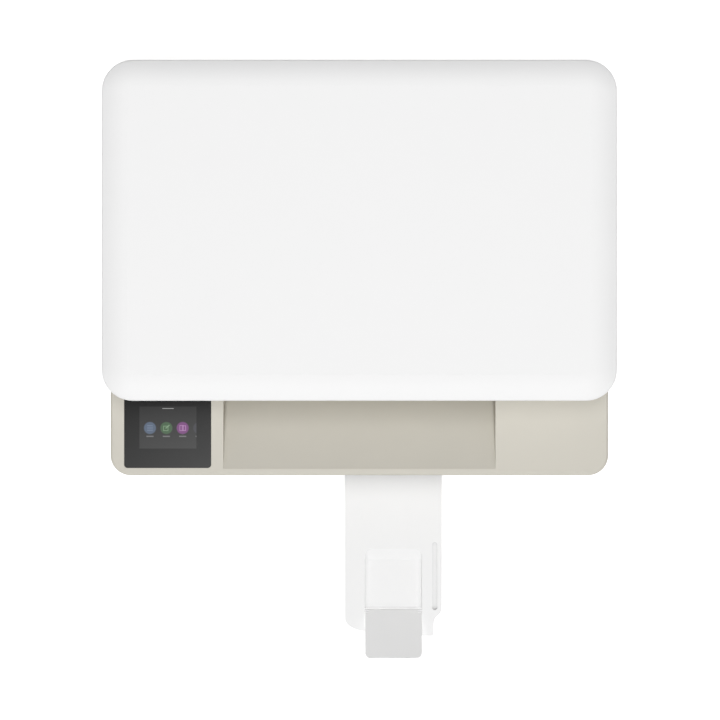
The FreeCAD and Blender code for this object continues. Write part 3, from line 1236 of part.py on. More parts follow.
def link(y0, z0, y1, z1, half, x):
    """Straight arm with round ends between two points of the YZ plane."""
    length = math.hypot(y1 - y0, z1 - z0)
    bar = block(x, (y0, y0 + length), around(z0, half))
    bar.rotate(Vector(0, y0, z0), Vector(1, 0, 0), math.degrees(math.atan2(z1 - z0, y1 - y0)))
    return fuse(bar, rod_x(x, y0, z0, half), rod_x(x, y1, z1, half))


def make_pick_arm():
    inner = PICK_WIDTH / 2 + SIDE_GAP
    plates = []
    for side in (-1, 1):
        near = side * inner
        far = near + side * PICK_ARM_PLATE
        plate_x = (min(near, far), max(near, far))
        plates.append(link(PIVOT_Y, PIVOT_Z, PICK_Y, PICK_Z, PICK_ARM_HALF, plate_x))
    web = rod_x((-inner, inner), PIVOT_Y, PIVOT_Z, PICK_ARM_HALF)
    reach = inner + PICK_ARM_PLATE + SIDE_GAP + PICK_LUG
    pins = rod_x((-reach, reach), PIVOT_Y, PIVOT_Z, PICK_PIN)
    bore = rod_x((-reach, reach), PICK_Y, PICK_Z, PICK_PIN + FIT)
    return cut(fuse(plates[0], plates[1], web, pins), bore)


def make_pick_roller():
    wheel = rod_x(around(0, PICK_WIDTH / 2), PICK_Y, PICK_Z, PICK_RADIUS)
    reach = PICK_WIDTH / 2 + SIDE_GAP + PICK_ARM_PLATE
    return fuse(wheel, rod_x((-reach, reach), PICK_Y, PICK_Z, PICK_PIN))


def make_rear_paper_guide():
    half = PAPER_WIDTH / 2 + CUT * 2
    x = (-half, half)
    y = (REAR_GUIDE_Y, REAR_GUIDE_Y + GUIDE_OUTER)
    outside = rod_x(x, REAR_GUIDE_Y, REAR_GUIDE_Z, GUIDE_OUTER)
    inside = rod_x((x[0] - CUT, x[1] + CUT), REAR_GUIDE_Y, REAR_GUIDE_Z, GUIDE_INNER)
    arc = cut(outside, inside).common(block(x, y, around(REAR_GUIDE_Z, GUIDE_OUTER)))
    ends = []
    for side in (-1, 1):
        near = side * half
        far = near + side * REAR_GUIDE_END
        end_x = (min(near, far), max(near, far))
        ends.append(block(end_x, y, (FLOOR_Z, REAR_GUIDE_Z + GUIDE_OUTER)))
    return fuse(arc, *ends)


def sled_place(clearance):
    x = (STATION_LEFT + STATION_WALL + clearance, STATION_RIGHT - STATION_WALL - clearance)
    y = station_depth(-STATION_WALL - clearance)
    return x, y


def make_service_station():
    x = (STATION_LEFT, STATION_RIGHT)
    y = station_depth(0)
    top = PLATEN_Z
    box = block(x, y, (STATION_Z, top))
    tank = block((TANK_LEFT, STATION_RIGHT), y, (FLOOR_Z + FRAME_FOOT_THICK, STATION_Z))
    foot = block((TANK_LEFT, FRAME_RIGHT - FRAME_FOOT), y, (FLOOR_Z, FLOOR_Z + FRAME_FOOT_THICK))
    room_x, room_y = sled_place(0)
    room = block(room_x, room_y, (STATION_Z + STATION_WALL, top + CUT))
    return cut(fuse(box, tank, foot), room)


def make_cap_sled():
    x, y = sled_place(SLED_GAP)
    low = STATION_Z + STATION_WALL + SLED_TRAVEL + CLEAR
    top = NOZZLE_Z - CLEAR - CAP_HEIGHT
    sled = block(x, y, (low, top))
    caps = []
    centres, half = cartridge_places()
    ring_half = half - CARTRIDGE_GAP
    ring_y = (NOZZLE_Y, NOZZLE_Y + NOZZLE_DEPTH)
    inner_y = (ring_y[0] + CAP_WALL, ring_y[1] - CAP_WALL)
    inner_z = (top + CAP_WALL, top + CAP_HEIGHT + CUT)
    for centre in centres:
        outer = block(around(centre, ring_half), ring_y, (top, top + CAP_HEIGHT))
        inner = block(around(centre, ring_half - CAP_WALL), inner_y, inner_z)
        caps.append(cut(outer, inner))
    return fuse(sled, *caps)


def make_scanner_hinges():
    """Brackets on the rear cover that carry the scanner unit's hinge pins."""
    y, z = HINGE_AXIS
    brackets = []
    for side in (-1, 1):
        x = around(side * HINGE_X, HINGE_WIDTH / 2)
        low = LEDGE_Z - REAR_TOP_DROP - HINGE_STEM
        stem = block(x, (y - HINGE_RADIUS, COVER_INNER_BACK), (low, LEDGE_Z - REAR_TOP_DROP - CUT))
        neck = block(x, around(y, HINGE_RADIUS), (low, z))
        eye = rod_x(x, y, z, HINGE_RADIUS)
        bore = rod_x((x[0] - CUT, x[1] + CUT), y, z, HINGE_PIN + HINGE_BORE_FIT)
        brackets.append(cut(fuse(stem, neck, eye), bore))
    return group(brackets)


def make_scanner_base():
    x = (-HALF, HALF)
    y = (SCANNER_FRONT_Y, BACK_Y)
    radii = [SCANNER_CORNER, SCANNER_CORNER, BODY_CORNER, BODY_CORNER]
    shell = slab(x, y, (SCANNER_Z, FRAME_PLATE_Z), radii)
    shell = fillet_edges(shell, SCANNER_EDGE, at_height(SCANNER_Z))
    inner_radii = [radius - WALL for radius in radii]
    inner_y = (SCANNER_FRONT_Y + WALL, COVER_INNER_BACK)
    inner_z = (SCANNER_Z + WALL, FRAME_PLATE_Z + CUT)
    inner = slab((-HALF + WALL, HALF - WALL), inner_y, inner_z, inner_radii)
    shell = cut(shell, inner)
    axis_y, axis_z = HINGE_AXIS
    lugs = []
    cuts = []
    for side in (-1, 1):
        middle = side * HINGE_X
        room = HINGE_WIDTH / 2 + HINGE_SIDE
        for hand in (-1, 1):
            near = middle + hand * room
            far = near + hand * HINGE_LUG
            lug_x = (min(near, far), max(near, far))
            lug_z = (SCANNER_Z + WALL / 2, axis_z + HINGE_RADIUS)
            lugs.append(block(lug_x, around(axis_y, HINGE_RADIUS), lug_z))
        notch_y = (axis_y - HINGE_RADIUS - CUT, BACK_Y + CUT)
        notch_z = (SCANNER_Z - CUT, axis_z + HINGE_RADIUS + CUT)
        cuts.append(block(around(middle, room), notch_y, notch_z))
        reach = room + HINGE_LUG + CUT
        cuts.append(rod_x(around(middle, reach), axis_y, axis_z, HINGE_PIN + HINGE_PIN_FIT))
    return cut(fuse(shell, *lugs), *cuts)


def glass_place(extra):
    """Plan limits of the glass opening in the top frame."""
    front = SCANNER_FRONT_Y + GLASS_FROM_FRONT
    x = around(0, GLASS_WIDTH / 2 + extra)
    return x, (front - extra, front + GLASS_DEPTH + extra)


def make_scanner_top_frame():
    radii = [SCANNER_CORNER, SCANNER_CORNER, BODY_CORNER, BODY_CORNER]
    z = (FRAME_PLATE_Z, SCANNER_TOP_Z)
    plate = slab((-HALF, HALF), (SCANNER_FRONT_Y, BACK_Y), z, radii)
    x, y = glass_place(0)
    opening = slab(x, y, (z[0] - CUT, z[1] + CUT), [CUT] * 4)
    posts = []
    bores = []
    axis_y, axis_z = LID_AXIS
    for side in (-1, 1):
        span = around(side * LID_HINGE_X, LID_HINGE_WIDTH / 2)
        post_y = (axis_y - LID_HINGE_RADIUS, min(BACK_Y, axis_y + LID_HINGE_RADIUS))
        posts.append(block(span, post_y, (z[0], axis_z)))
        posts.append(rod_x(span, axis_y, axis_z, LID_HINGE_RADIUS))
        bores.append(rod_x((span[0] - CUT, span[1] + CUT), axis_y, axis_z, LID_PIN + HINGE_PIN_FIT))
    return cut(fuse(cut(plate, opening), *posts), *bores)


def make_hinge_pins():
    """Four steel pins, two of the scanner unit and two of the lid."""
    pins = []
    for side in (-1, 1):
        reach = HINGE_WIDTH / 2 + HINGE_SIDE + HINGE_LUG
        pins.append(rod_x(around(side * HINGE_X, reach), HINGE_AXIS[0], HINGE_AXIS[1], HINGE_PIN))
        lid_reach = LID_HINGE_WIDTH / 2 + HINGE_SIDE + HINGE_LUG
        pins.append(rod_x(around(side * LID_HINGE_X, lid_reach), LID_AXIS[0], LID_AXIS[1], LID_PIN))
    return group(pins)


def make_scanner_glass():
    x, y = glass_place(GLASS_MARGIN)
    return block(x, y, (GLASS_Z, FRAME_PLATE_Z))


def scan_rod_place():
    y = glass_place(0)[1]
    return sum(y) / 2, SCANNER_Z + WALL + SCAN_ROD_RISE


def make_scan_rod():
    y, z = scan_rod_place()
    return rod_x((-HALF + WALL, HALF - WALL), y, z, SCAN_ROD)


def make_scan_bar():
    y = glass_place(GLASS_MARGIN)[1]
    top = GLASS_Z - SENSOR_GAP
    low = SCANNER_Z + WALL + SENSOR_LIFT
    rod_y_place, rod_z_place = scan_rod_place()
    bar = block(around(SENSOR_X, SENSOR_WIDTH / 2), y, (rod_z_place + SCAN_ROD + CUT, top))
    sled = block(around(SENSOR_X, SENSOR_WIDTH / 2), around(rod_y_place, SENSOR_SLED / 2), (low, top))
    bore = rod_x(around(SENSOR_X, SENSOR_WIDTH), rod_y_place, rod_z_place, SCAN_ROD + FIT)
    return cut(fuse(bar, sled), bore)


def lid_section(centre, outward, corner, low, rim_top):
    """Upright section of the lid's border: wall, edge rounding, shallow dome and flat top."""
    def spot(run, z):
        return centre + outward * (corner - run) + Vector(0, 0, z)

    def on_round(turn):
        return spot(DOME_ROUND * (1 - math.cos(turn)), rim_top + DOME_ROUND * math.sin(turn))

    def on_dome(turn):
        run = DOME_RUN - DOME_RADIUS * math.cos(turn)
        return spot(run, rim_top + DOME_RISE - DOME_RADIUS * (1 - math.sin(turn)))

    upright = math.pi / 2
    top = rim_top + DOME_RISE
    edges = [
        Part.LineSegment(spot(0, low), spot(0, rim_top)).toShape(),
        Part.Arc(on_round(0), on_round(DOME_TURN / 2), on_round(DOME_TURN)).toShape(),
        Part.Arc(on_dome(DOME_TURN), on_dome((DOME_TURN + upright) / 2), on_dome(upright)).toShape(),
        Part.LineSegment(on_dome(upright), spot(corner, top)).toShape(),
        Part.LineSegment(spot(corner, top), spot(corner, low)).toShape(),
        Part.LineSegment(spot(corner, low), spot(0, low)).toShape(),
    ]
    return Part.Face(Part.Wire(edges))


def lid_form(inset):
    """Upright rim and domed top, shrunk all round by a wall for its inside."""
    corner = LID_CORNER - inset
    low = LID_Z - (CUT if inset else 0)
    rim_top = LID_RIM_Z - inset
    x = around(0, LID_WIDTH / 2 - inset - corner)
    y = (LID_FRONT_Y + inset + corner, LID_BACK_Y - inset - corner)
    centres = [Vector(x[0], y[0], 0), Vector(x[1], y[0], 0), Vector(x[1], y[1], 0), Vector(x[0], y[1], 0)]
    ways = [Vector(0, -1, 0), Vector(1, 0, 0), Vector(0, 1, 0), Vector(-1, 0, 0)]
    quarter = 90
    border = []
    for index, outward in enumerate(ways):
        start = centres[index]
        end = centres[(index + 1) % 4]
        border.append(lid_section(start, outward, corner, low, rim_top).extrude(end - start))
        border.append(lid_section(end, outward, corner, low, rim_top).revolve(end, Vector(0, 0, 1), quarter))
    core = block(x, y, (low, rim_top + DOME_RISE))
    return fuse(core, *border)


def make_scanner_lid():
    shell = cut(lid_form(0), lid_form(LID_WALL))
    axis_y, axis_z = LID_AXIS
    ceiling = LID_RIM_Z - LID_WALL
    lugs = []
    cuts = []
    for side in (-1, 1):
        middle = side * LID_HINGE_X
        room = LID_HINGE_WIDTH / 2 + HINGE_SIDE
        for hand in (-1, 1):
            near = middle + hand * room
            far = near + hand * HINGE_LUG
            lug_x = (min(near, far), max(near, far))
            lug_y = (axis_y - LID_HINGE_RADIUS, LID_BACK_Y - LID_WALL / 2)
            lugs.append(block(lug_x, lug_y, (axis_z - LID_HINGE_RADIUS, ceiling + LID_WALL)))
        notch_y = (axis_y - LID_HINGE_RADIUS - CUT, LID_BACK_Y + CUT)
        cuts.append(block(around(middle, room), notch_y, (LID_Z - CUT, axis_z + LID_HINGE_RADIUS + CUT)))
        cuts.append(rod_x(around(middle, room + HINGE_LUG + CUT), axis_y, axis_z, LID_PIN + HINGE_BORE_FIT))
    for x, y in boss_places():
        lugs.append(rod_z(x, y, (liner_height()[1], ceiling + DOME_RISE), LID_BOSS_RADIUS))
    relief_x = (-LID_WIDTH / 2, LID_WIDTH / 2)
    relief = block(relief_x, (axis_y, LID_BACK_Y + CUT), (LID_Z - CUT, LID_Z + LID_REAR_RELIEF))
    return cut(fuse(shell, *lugs), *cuts, relief)


def boss_places():
    """Bosses inside the lid that the liner is fixed to."""
    columns = (-LID_WIDTH / 2 + LID_CORNER * 2, LID_WIDTH / 2 - LID_CORNER * 2)
    rows = (LID_FRONT_Y + LID_CORNER * 2, LID_BACK_Y - LID_CORNER * 2)
    return [(x, y) for x in columns for y in rows]


def liner_height():
    low = LID_Z + LINER_LIFT
    return low, low + LINER_THICK


def make_lid_liner():
    inset = LID_WALL + LINER_GAP
    x = (-LID_WIDTH / 2 + inset, LID_WIDTH / 2 - inset)
    y = (LID_FRONT_Y + inset, LID_BACK_Y - LID_CORNER - LINER_GAP)
    radius = LID_CORNER - inset
    return slab(x, y, liner_height(), [radius, radius, 0, 0])


def make_document_pad():
    x, y = glass_place(-PAD_INSET)
    return block(x, y, (FRAME_PLATE_Z + PAD_GAP, liner_height()[0]))


PIECES = {
    "base_pan": make_base_pan(),
    "case_screws": make_case_screws(),
    "rubber_feet": make_rubber_feet(),
    "front_cover": make_front_cover(),
    "left_side_cover": make_side_cover(-1),
    "right_side_cover": make_side_cover(1),
    "rear_cover": make_rear_cover(),
    "display_glass": make_display_glass(),
    "display_panel": make_display_panel(),
    "output_floor": make_output_floor(),
    "output_extension": make_output_extension(),
    "stop_flap": make_stop_flap(),
    "paper_tray": make_paper_tray(),
    "tray_front": make_tray_front(),
    "left_width_guide": make_width_guide(-1),
    "right_width_guide": make_width_guide(1),
    "guide_pinion": make_guide_pinion(),
    "left_frame": make_left_frame(),
    "right_frame": make_right_frame(),
    "main_board": make_main_board(),
    "usb_port": make_usb_port(),
    "power_supply": make_power_supply(),
    "power_inlet": make_power_inlet(),
    "power_button": make_power_button(),
    "platen": make_platen(),
    "feed_roller": make_feed_roller(),
    "feed_gear": make_feed_gear(),
    "idler_gear": make_idler_gear(),
    "eject_roller": make_eject_roller(),
    "eject_gear": make_eject_gear(),
    "motor_pinion": make_motor_pinion(),
    "feed_motor": make_feed_motor(),
    "pinch_bar": make_pinch_bar(),
    "pinch_rollers": make_pinch_rollers(),
    "star_bar": make_star_bar(),
    "star_wheels": make_star_wheels(),
    "chassis_beam": make_chassis_beam(),
    "carriage_rod": make_carriage_rod(),
    "carriage_motor": make_carriage_motor(),
    "motor_pulley": make_pulley(PULLEY_RIGHT),
    "idler_pulley": make_pulley(PULLEY_LEFT),
    "drive_belt": make_drive_belt(),
    "print_carriage": make_print_carriage(),
    "black_cartridge": make_cartridge(0),
    "colour_cartridge": make_cartridge(1),
    "pick_arm": make_pick_arm(),
    "pick_roller": make_pick_roller(),
    "rear_paper_guide": make_rear_paper_guide(),
    "service_station": make_service_station(),
    "cap_sled": make_cap_sled(),
    "scanner_hinges": make_scanner_hinges(),
    "scanner_base": make_scanner_base(),
    "scanner_top_frame": make_scanner_top_frame(),
    "hinge_pins": make_hinge_pins(),
    "scanner_glass": make_scanner_glass(),
    "scan_rod": make_scan_rod(),
    "scan_bar": make_scan_bar(),
    "scanner_lid": make_scanner_lid(),
    "lid_liner": make_lid_liner(),
    "document_pad": make_document_pad(),
}

os.makedirs("parts", exist_ok=True)
for name, shape in PIECES.items():
    shape.exportStep("parts/" + name + ".step")
    print(name, shape.isValid(), len(shape.Solids), round(shape.Volume), shape.BoundBox)
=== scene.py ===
# %% [markdown]
# # Dressing a flatbed inkjet printer
# The printer is already built as solids: every cover, roller, gear and hinge is a mesh in metres, in its
# real place. This lesson leaves those shapes alone and gives each of them the finish of the real piece,
# adds the small printed and moulded details, and sets up the plain white studio in which a shop would
# photograph it. First the solids are loaded. Nothing added may grow the printer.

# %% Load the solids
import json
import math

import bpy
import numpy as np
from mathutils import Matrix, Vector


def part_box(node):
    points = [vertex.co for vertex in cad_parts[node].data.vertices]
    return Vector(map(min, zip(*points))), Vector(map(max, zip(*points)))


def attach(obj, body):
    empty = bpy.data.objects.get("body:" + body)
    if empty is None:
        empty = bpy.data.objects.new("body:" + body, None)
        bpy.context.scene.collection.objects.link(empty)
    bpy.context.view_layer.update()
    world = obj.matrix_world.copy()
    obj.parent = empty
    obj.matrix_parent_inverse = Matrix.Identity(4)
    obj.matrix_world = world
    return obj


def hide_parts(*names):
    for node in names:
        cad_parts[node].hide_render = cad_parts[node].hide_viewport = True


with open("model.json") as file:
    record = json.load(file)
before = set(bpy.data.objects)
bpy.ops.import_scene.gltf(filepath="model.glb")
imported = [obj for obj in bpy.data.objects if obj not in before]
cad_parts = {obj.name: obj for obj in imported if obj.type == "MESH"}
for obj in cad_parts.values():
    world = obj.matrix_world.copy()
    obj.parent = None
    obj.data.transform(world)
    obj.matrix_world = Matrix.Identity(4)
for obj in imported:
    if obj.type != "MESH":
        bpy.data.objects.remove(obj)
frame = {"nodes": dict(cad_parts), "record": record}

scene = bpy.context.scene
nodes = frame["nodes"]
MM = 0.001
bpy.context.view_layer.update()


def box_mm(name):
    """The lowest and the highest corner of a solid, as arrays in millimetres."""
    low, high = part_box(name)
    return np.array(low) / MM, np.array(high) / MM


# %% [markdown]
# ## The camera
# The printer is seen straight from above. A long lens far away keeps the sides of the body hidden behind
# the lid, as in a catalogue picture. A camera that is not turned at all looks down, with +Y towards the
# top of the picture, so only its place and its lens are set.

# %% Look straight down
LENS = 108.3
SENSOR = 36.0
CAMERA_AT = (0.0005, 0.0047, 1.948)
camera_data = bpy.data.cameras.new("overhead_camera")
camera_data.lens = LENS
camera_data.sensor_width = SENSOR
camera_data.clip_start = 0.01
camera_data.clip_end = 50.0
camera = bpy.data.objects.new("overhead_camera", camera_data)
camera.location = CAMERA_AT
scene.collection.objects.link(camera)
scene.camera = camera
print("camera", CAMERA_AT[2], "m up, lens", LENS, "mm")

# %% [markdown]
# ## Shader maths in plain Python
# A material is a graph of nodes, and maths on it soon turns into dozens of lines that only add and link
# nodes. One small class hides that. It holds one output socket, a wire, and every operator on wires adds
# the Math node that works it out, so a mask reads like a formula. All other nodes come from its node
# method: the node's type, then its settings, then what goes into its sockets.

# %% A wire that can be added, scaled and compared
class Wire:
    """One socket of a material. Operators add Math nodes and give the wire that carries the result:
    & gives the larger of two values, and | the smaller."""

    def __init__(self, tree, socket=None):
        self.tree = tree
        self.socket = socket

    def node(self, kind, settings=None, sockets=None, out=0):
        """Adds a node: settings first, then values or wires for its sockets. Gives one of its outputs."""
        made = self.tree.nodes.new(kind)
        for name, value in (settings or {}).items():
            setattr(made, name, value)
        for name, value in (sockets or {}).items():
            if isinstance(value, Wire):
                self.tree.links.new(value.socket, made.inputs[name])
            else:
                made.inputs[name].default_value = value
        return Wire(self.tree, made.outputs[out])

    def maths(self, operation, *operands):
        """One Math node on the given values and wires."""
        return self.node("ShaderNodeMath", {"operation": operation}, dict(enumerate(operands)))

    def __add__(self, other):
        return self.maths("ADD", self, other)

    def __sub__(self, other):
        return self.maths("SUBTRACT", self, other)

    def __rsub__(self, other):
        return self.maths("SUBTRACT", other, self)

    def __mul__(self, other):
        return self.maths("MULTIPLY", self, other)

    def __truediv__(self, other):
        return self.maths("DIVIDE", self, other)

    def __pow__(self, other):
        return self.maths("POWER", self, other)

    def __mod__(self, other):
        return self.maths("FLOORED_MODULO", self, other)

    def __abs__(self):
        return self.maths("ABSOLUTE", self)

    def __and__(self, other):
        return self.maths("MAXIMUM", self, other)

    def __or__(self, other):
        return self.maths("MINIMUM", self, other)

    def __gt__(self, other):
        return self.maths("GREATER_THAN", self, other)

    __radd__ = __add__
    __rmul__ = __mul__

    def clamp(self):
        """The value held between 0 and 1."""
        return self.node("ShaderNodeClamp", None, {0: self})

    def inside(self, soft):
        """A signed distance made a mask: 1 inside, 0 outside, with an edge of the given softness."""
        return (0.5 - self / soft).clamp()


def colour_mix(factor, first, second):
    """A colour between two others, on a Mix node, because a Math node would turn it grey."""
    wire = next(part for part in (factor, first, second) if isinstance(part, Wire))
    sockets = {0: factor, 6: first, 7: second}
    return wire.node("ShaderNodeMix", {"data_type": "RGBA", "clamp_factor": True}, sockets, out=2)


operators = [name for name in vars(Wire) if callable(getattr(Wire, name))]
print("a wire has", len(operators), "methods and operators")

# %% [markdown]
# ## Starting a finish
# Every finish begins the same way: a new material, its Principled shader, and the Object coordinates,
# which are the part's own metres. Turned into millimetres they let a grain of 0.6 mm be written as 0.6.
# Numbers that are the same all over are written straight on the shader's sockets; only what changes over
# the surface is linked.

# %% Colours
def linear(red, green, blue):
    """A colour as read from a screen, 0 to 255, turned into the light that it stands for."""
    screen = np.array([red, green, blue]) / 255.0
    light = np.where(screen <= 0.04045, screen / 12.92, ((screen + 0.055) / 1.055) ** 2.4)
    return (*light.tolist(), 1.0)


def grey(value):
    """A neutral colour that sends back the given share of the light."""
    return (value, value, value, 1.0)


def tone(colour, factor):
    """The same colour, lighter or darker by a factor."""
    return (*[min(value * factor, 1.0) for value in colour[:3]], 1.0)


BEIGE = linear(206, 202, 191)
print("the body's beige sends back", [round(value, 3) for value in BEIGE[:3]])

# %% A new finish and its coordinates
class Finish:
    """A material being made: its shader, its coordinates in millimetres, and a wire to start nodes from."""

    def __init__(self, name, **constants):
        self.material = bpy.data.materials.new(name)
        self.material.use_nodes = True
        tree = self.material.node_tree
        self.shader = tree.nodes["Principled BSDF"]
        self.bench = Wire(tree)
        for socket, value in constants.items():
            self.shader.inputs[socket.replace("_", " ")].default_value = value
        metres = self.bench.node("ShaderNodeTexCoord", None, None, "Object")
        scaled = {"operation": "SCALE"}
        self.place = self.bench.node("ShaderNodeVectorMath", scaled, {0: metres, "Scale": 1 / MM})
        self.x, self.y, self.z = [
            self.bench.node("ShaderNodeSeparateXYZ", None, {0: self.place}, axis) for axis in "XYZ"
        ]

    def stretched(self, x, y, z):
        """The coordinates scaled along each axis: a pattern grows long where the scale is small."""
        factors = {0: self.place, 1: (x, y, z)}
        return self.bench.node("ShaderNodeVectorMath", {"operation": "MULTIPLY"}, factors)

    def noise(self, size, detail=2.0, place=None):
        """Soft noise from 0 to 1 whose blotches are about the given size in millimetres."""
        sockets = {"Vector": place or self.place, "Scale": 1 / size, "Detail": detail}
        return self.bench.node("ShaderNodeTexNoise", None, sockets)

    def cells(self, size, place=None):
        """Distance to the nearest of scattered points, about one in each cell of the given size."""
        sockets = {"Vector": place or self.place, "Scale": 1 / size}
        return self.bench.node("ShaderNodeTexVoronoi", {"feature": "F1"}, sockets)

    def openness(self, reach):
        """1 in the open, less in the piece's own corners and grooves narrower than the reach in mm."""
        settings = {"samples": 8, "only_local": True}
        return self.bench.node("ShaderNodeAmbientOcclusion", settings, {"Distance": reach * MM}, "AO")

    def bump(self, height, depth):
        """Slopes the surface as a relief of the given depth in millimetres would."""
        relief = {"Height": height, "Distance": depth * MM}
        self.link("Normal", self.bench.node("ShaderNodeBump", None, relief))

    def link(self, socket, wire):
        """Feeds a socket of the shader."""
        self.bench.tree.links.new(wire.socket, self.shader.inputs[socket])


print("patterns of a finish: noise, cells, open air; relief: bump")

# %% [markdown]
# ## Moulded covers
# The lid and the covers are moulded in a tool whose steel was etched, which leaves a fine, even, matte
# grain. A photograph shows it as a faint speckle. Two noises give it: a fine one lifts the surface and
# changes the roughness, and a coarse one makes the colour wander by about one part in a hundred, as real
# plastic does. In narrow grooves and inner corners the colour is painted darker: painted shade where a
# corner shuts out the light, with a little dust.

# %% White, beige, grey and black mouldings
GRAIN = 0.7
GRAIN_DEPTH = 0.012
CLOUD = 38.0
WANDER = 0.012
GROOVE = 4.0


def moulded(name, colour, roughness, grain=GRAIN, depth=GRAIN_DEPTH, wander=WANDER, dust_and_shade=0.2):
    """Etched plastic: grain of a size and depth in mm, a wandering colour, and painted shade and dust in
    grooves.
    """
    finish = Finish(name, IOR=1.5, Specular_IOR_Level=0.4)
    fine = finish.noise(grain, 3.0)
    cloud = finish.noise(CLOUD)
    clean = colour_mix(cloud, tone(colour, 1 - wander), tone(colour, 1 + wander))
    shaded_and_dusty = tone(colour, 1 - dust_and_shade)
    # painted shade with a little dust: darker where the piece's own grooves and corners are shut in
    finish.link("Base Color", colour_mix(finish.openness(GROOVE), shaded_and_dusty, clean))
    finish.link("Roughness", roughness + (fine - 0.5) * 0.16 + (cloud - 0.5) * 0.06)
    finish.bump(fine, depth)
    return finish.material


WHITE = grey(0.94)
BLACK_PLASTIC = (0.030, 0.030, 0.032, 1.0)
finishes = {
    "lid_white": moulded("etched_white", WHITE, 0.55),
    "body_beige": moulded("etched_beige", BEIGE, 0.55, dust_and_shade=0.1),
    "pan_grey": moulded("etched_grey", (0.30, 0.29, 0.27, 1.0), 0.6, 0.9, 0.02),
    "guide_grey": moulded("guide_grey", grey(0.36), 0.5),
    "dark_plastic": moulded("etched_black", BLACK_PLASTIC, 0.5, 0.8, 0.016, 0.08),
    "supply_black": moulded("supply_black", grey(0.020), 0.62, 1.0, 0.03, 0.08),
    "liner_white": moulded("liner_white", (0.82, 0.82, 0.81, 1.0), 0.4, 1.4, 0.006),
}
tray_white = moulded("extension_white", grey(0.875), 0.5, dust_and_shade=0.35)
carriage_black = moulded("carriage_black", grey(0.052), 0.42, 0.6, 0.01, 0.05)
print("mouldings:", sorted(finishes))

# %% [markdown]
# ## The lit display
# Under one sheet of black glass lies a small screen, a little lighter than its frame, with a dash at the
# top, three round buttons and the edge of a fourth. A picture file could hold it, but a formula stays
# sharp at any size. Each shape is a signed distance: negative inside, positive outside. The larger of two
# distances cuts one shape with another and the smaller joins them, and a soft step makes the distance a
# mask.

# %% Distances to flat shapes
def disc(x, y, centre, radius):
    """Distance to a circle: how far a point is from the centre, less the radius."""
    across = x - centre[0]
    along = y - centre[1]
    return (across * across + along * along) ** 0.5 - radius


def bar(x, y, centre, half_width, half_height):
    """Distance to an upright rectangle: the larger of how far a point is past either pair of sides."""
    return (abs(x - centre[0]) - half_width) & (abs(y - centre[1]) - half_height)


def plate(x, y, centre, half_width, half_height, radius):
    """Distance to a round-cornered rectangle: the length by which a point is past the smaller rectangle
    that lies a radius inside it, less the radius."""
    across = (abs(x - centre[0]) - (half_width - radius)) & 0.0
    along = (abs(y - centre[1]) - (half_height - radius)) & 0.0
    return (across * across + along * along) ** 0.5 - radius


def stroke(x, y, start, end, half_width):
    """Distance to a straight stroke: along and across it a point is measured as for a turned rectangle."""
    middle = (np.array(start) + np.array(end)) / 2
    way = np.array(end) - np.array(start)
    length = float(np.hypot(*way))
    east, north = (way / length).tolist()
    across = x - float(middle[0])
    along = y - float(middle[1])
    ahead = abs(across * east + along * north) - length / 2
    aside = abs(along * east - across * north) - half_width
    return ahead & aside


def outline(distance, half_width):
    """The border of a shape: where the distance is nearly nothing."""
    return abs(distance) - half_width


print("shapes: disc, bar, plate, stroke, outline")

# %% [markdown]
# The signs on the buttons are plain ones: lines of a list, a sheet with a pen, two sheets. Each is a few
# bars and strokes about the middle of its button, in millimetres.

# %% Signs on the buttons
def list_lines(x, y, at):
    """Four short bars, one above the other."""
    lines = [bar(x, y, (at[0], at[1] + step), 2.4, 0.28) for step in (2.1, 0.7, -0.7, -2.1)]
    return lines[0] | lines[1] | lines[2] | lines[3]


def sheet_and_pen(x, y, at):
    """The border of a square, joined with a slanting stroke."""
    sheet = outline(bar(x, y, (at[0] - 0.5, at[1] - 0.3), 1.9, 1.9), 0.25)
    return sheet | stroke(x, y, (at[0] - 0.6, at[1] - 0.3), (at[0] + 2.6, at[1] + 2.5), 0.45)


def two_sheets(x, y, at):
    """The borders of two rectangles side by side."""
    back = outline(bar(x, y, (at[0] - 0.9, at[1]), 1.5, 2.2), 0.25)
    return back | outline(bar(x, y, (at[0] + 1.1, at[1] - 0.1), 1.4, 2.0), 0.3)


# where each button stands, its fill, the colour of its sign, and the sign
buttons = [
    (22.0, linear(84, 98, 118), linear(112, 126, 148), list_lines),
    (36.0, linear(66, 94, 66), linear(124, 154, 122), sheet_and_pen),
    (49.9, linear(118, 66, 120), linear(174, 128, 176), two_sheets),
    (64.0, linear(60, 60, 66), linear(60, 60, 66), list_lines),
]
print("screen with", len(buttons), "round buttons")

# %% [markdown]
# The screen's light goes into the emission colour, and the glass over it keeps its black and its gloss, so
# the studio still mirrors in it. The glass's colour also holds a painted reflection: darkest under the lid
# and paler towards the front and the right; the screen's light is painted dimmer under the lid, as shade.

# %% Black glass with the screen behind it
SCREEN_AT, SCREEN_HALF = (37.3, 34.5), (24.3, 17.9)
# the screen's glow, painted dimmer under the lid as shade, and the glass's painted reflection, dark to pale
SCREEN_GLOW_AND_SHADE = (grey(0.012), grey(0.034))
GLASS_PAINTED_REFLECTION = (grey(0.0005), grey(0.056))
BUTTON_ROW, BUTTON_RADIUS = 34.1, 5.1
CAPTION_ROW, CAPTION_HALF, CAPTION_GREY = 27.0, (3.0, 0.5), linear(112, 112, 113)
DASH_AT, DASH_HALF, DASH_GREY = (37.4, 50.75), (4.8, 0.25), linear(165, 165, 165)


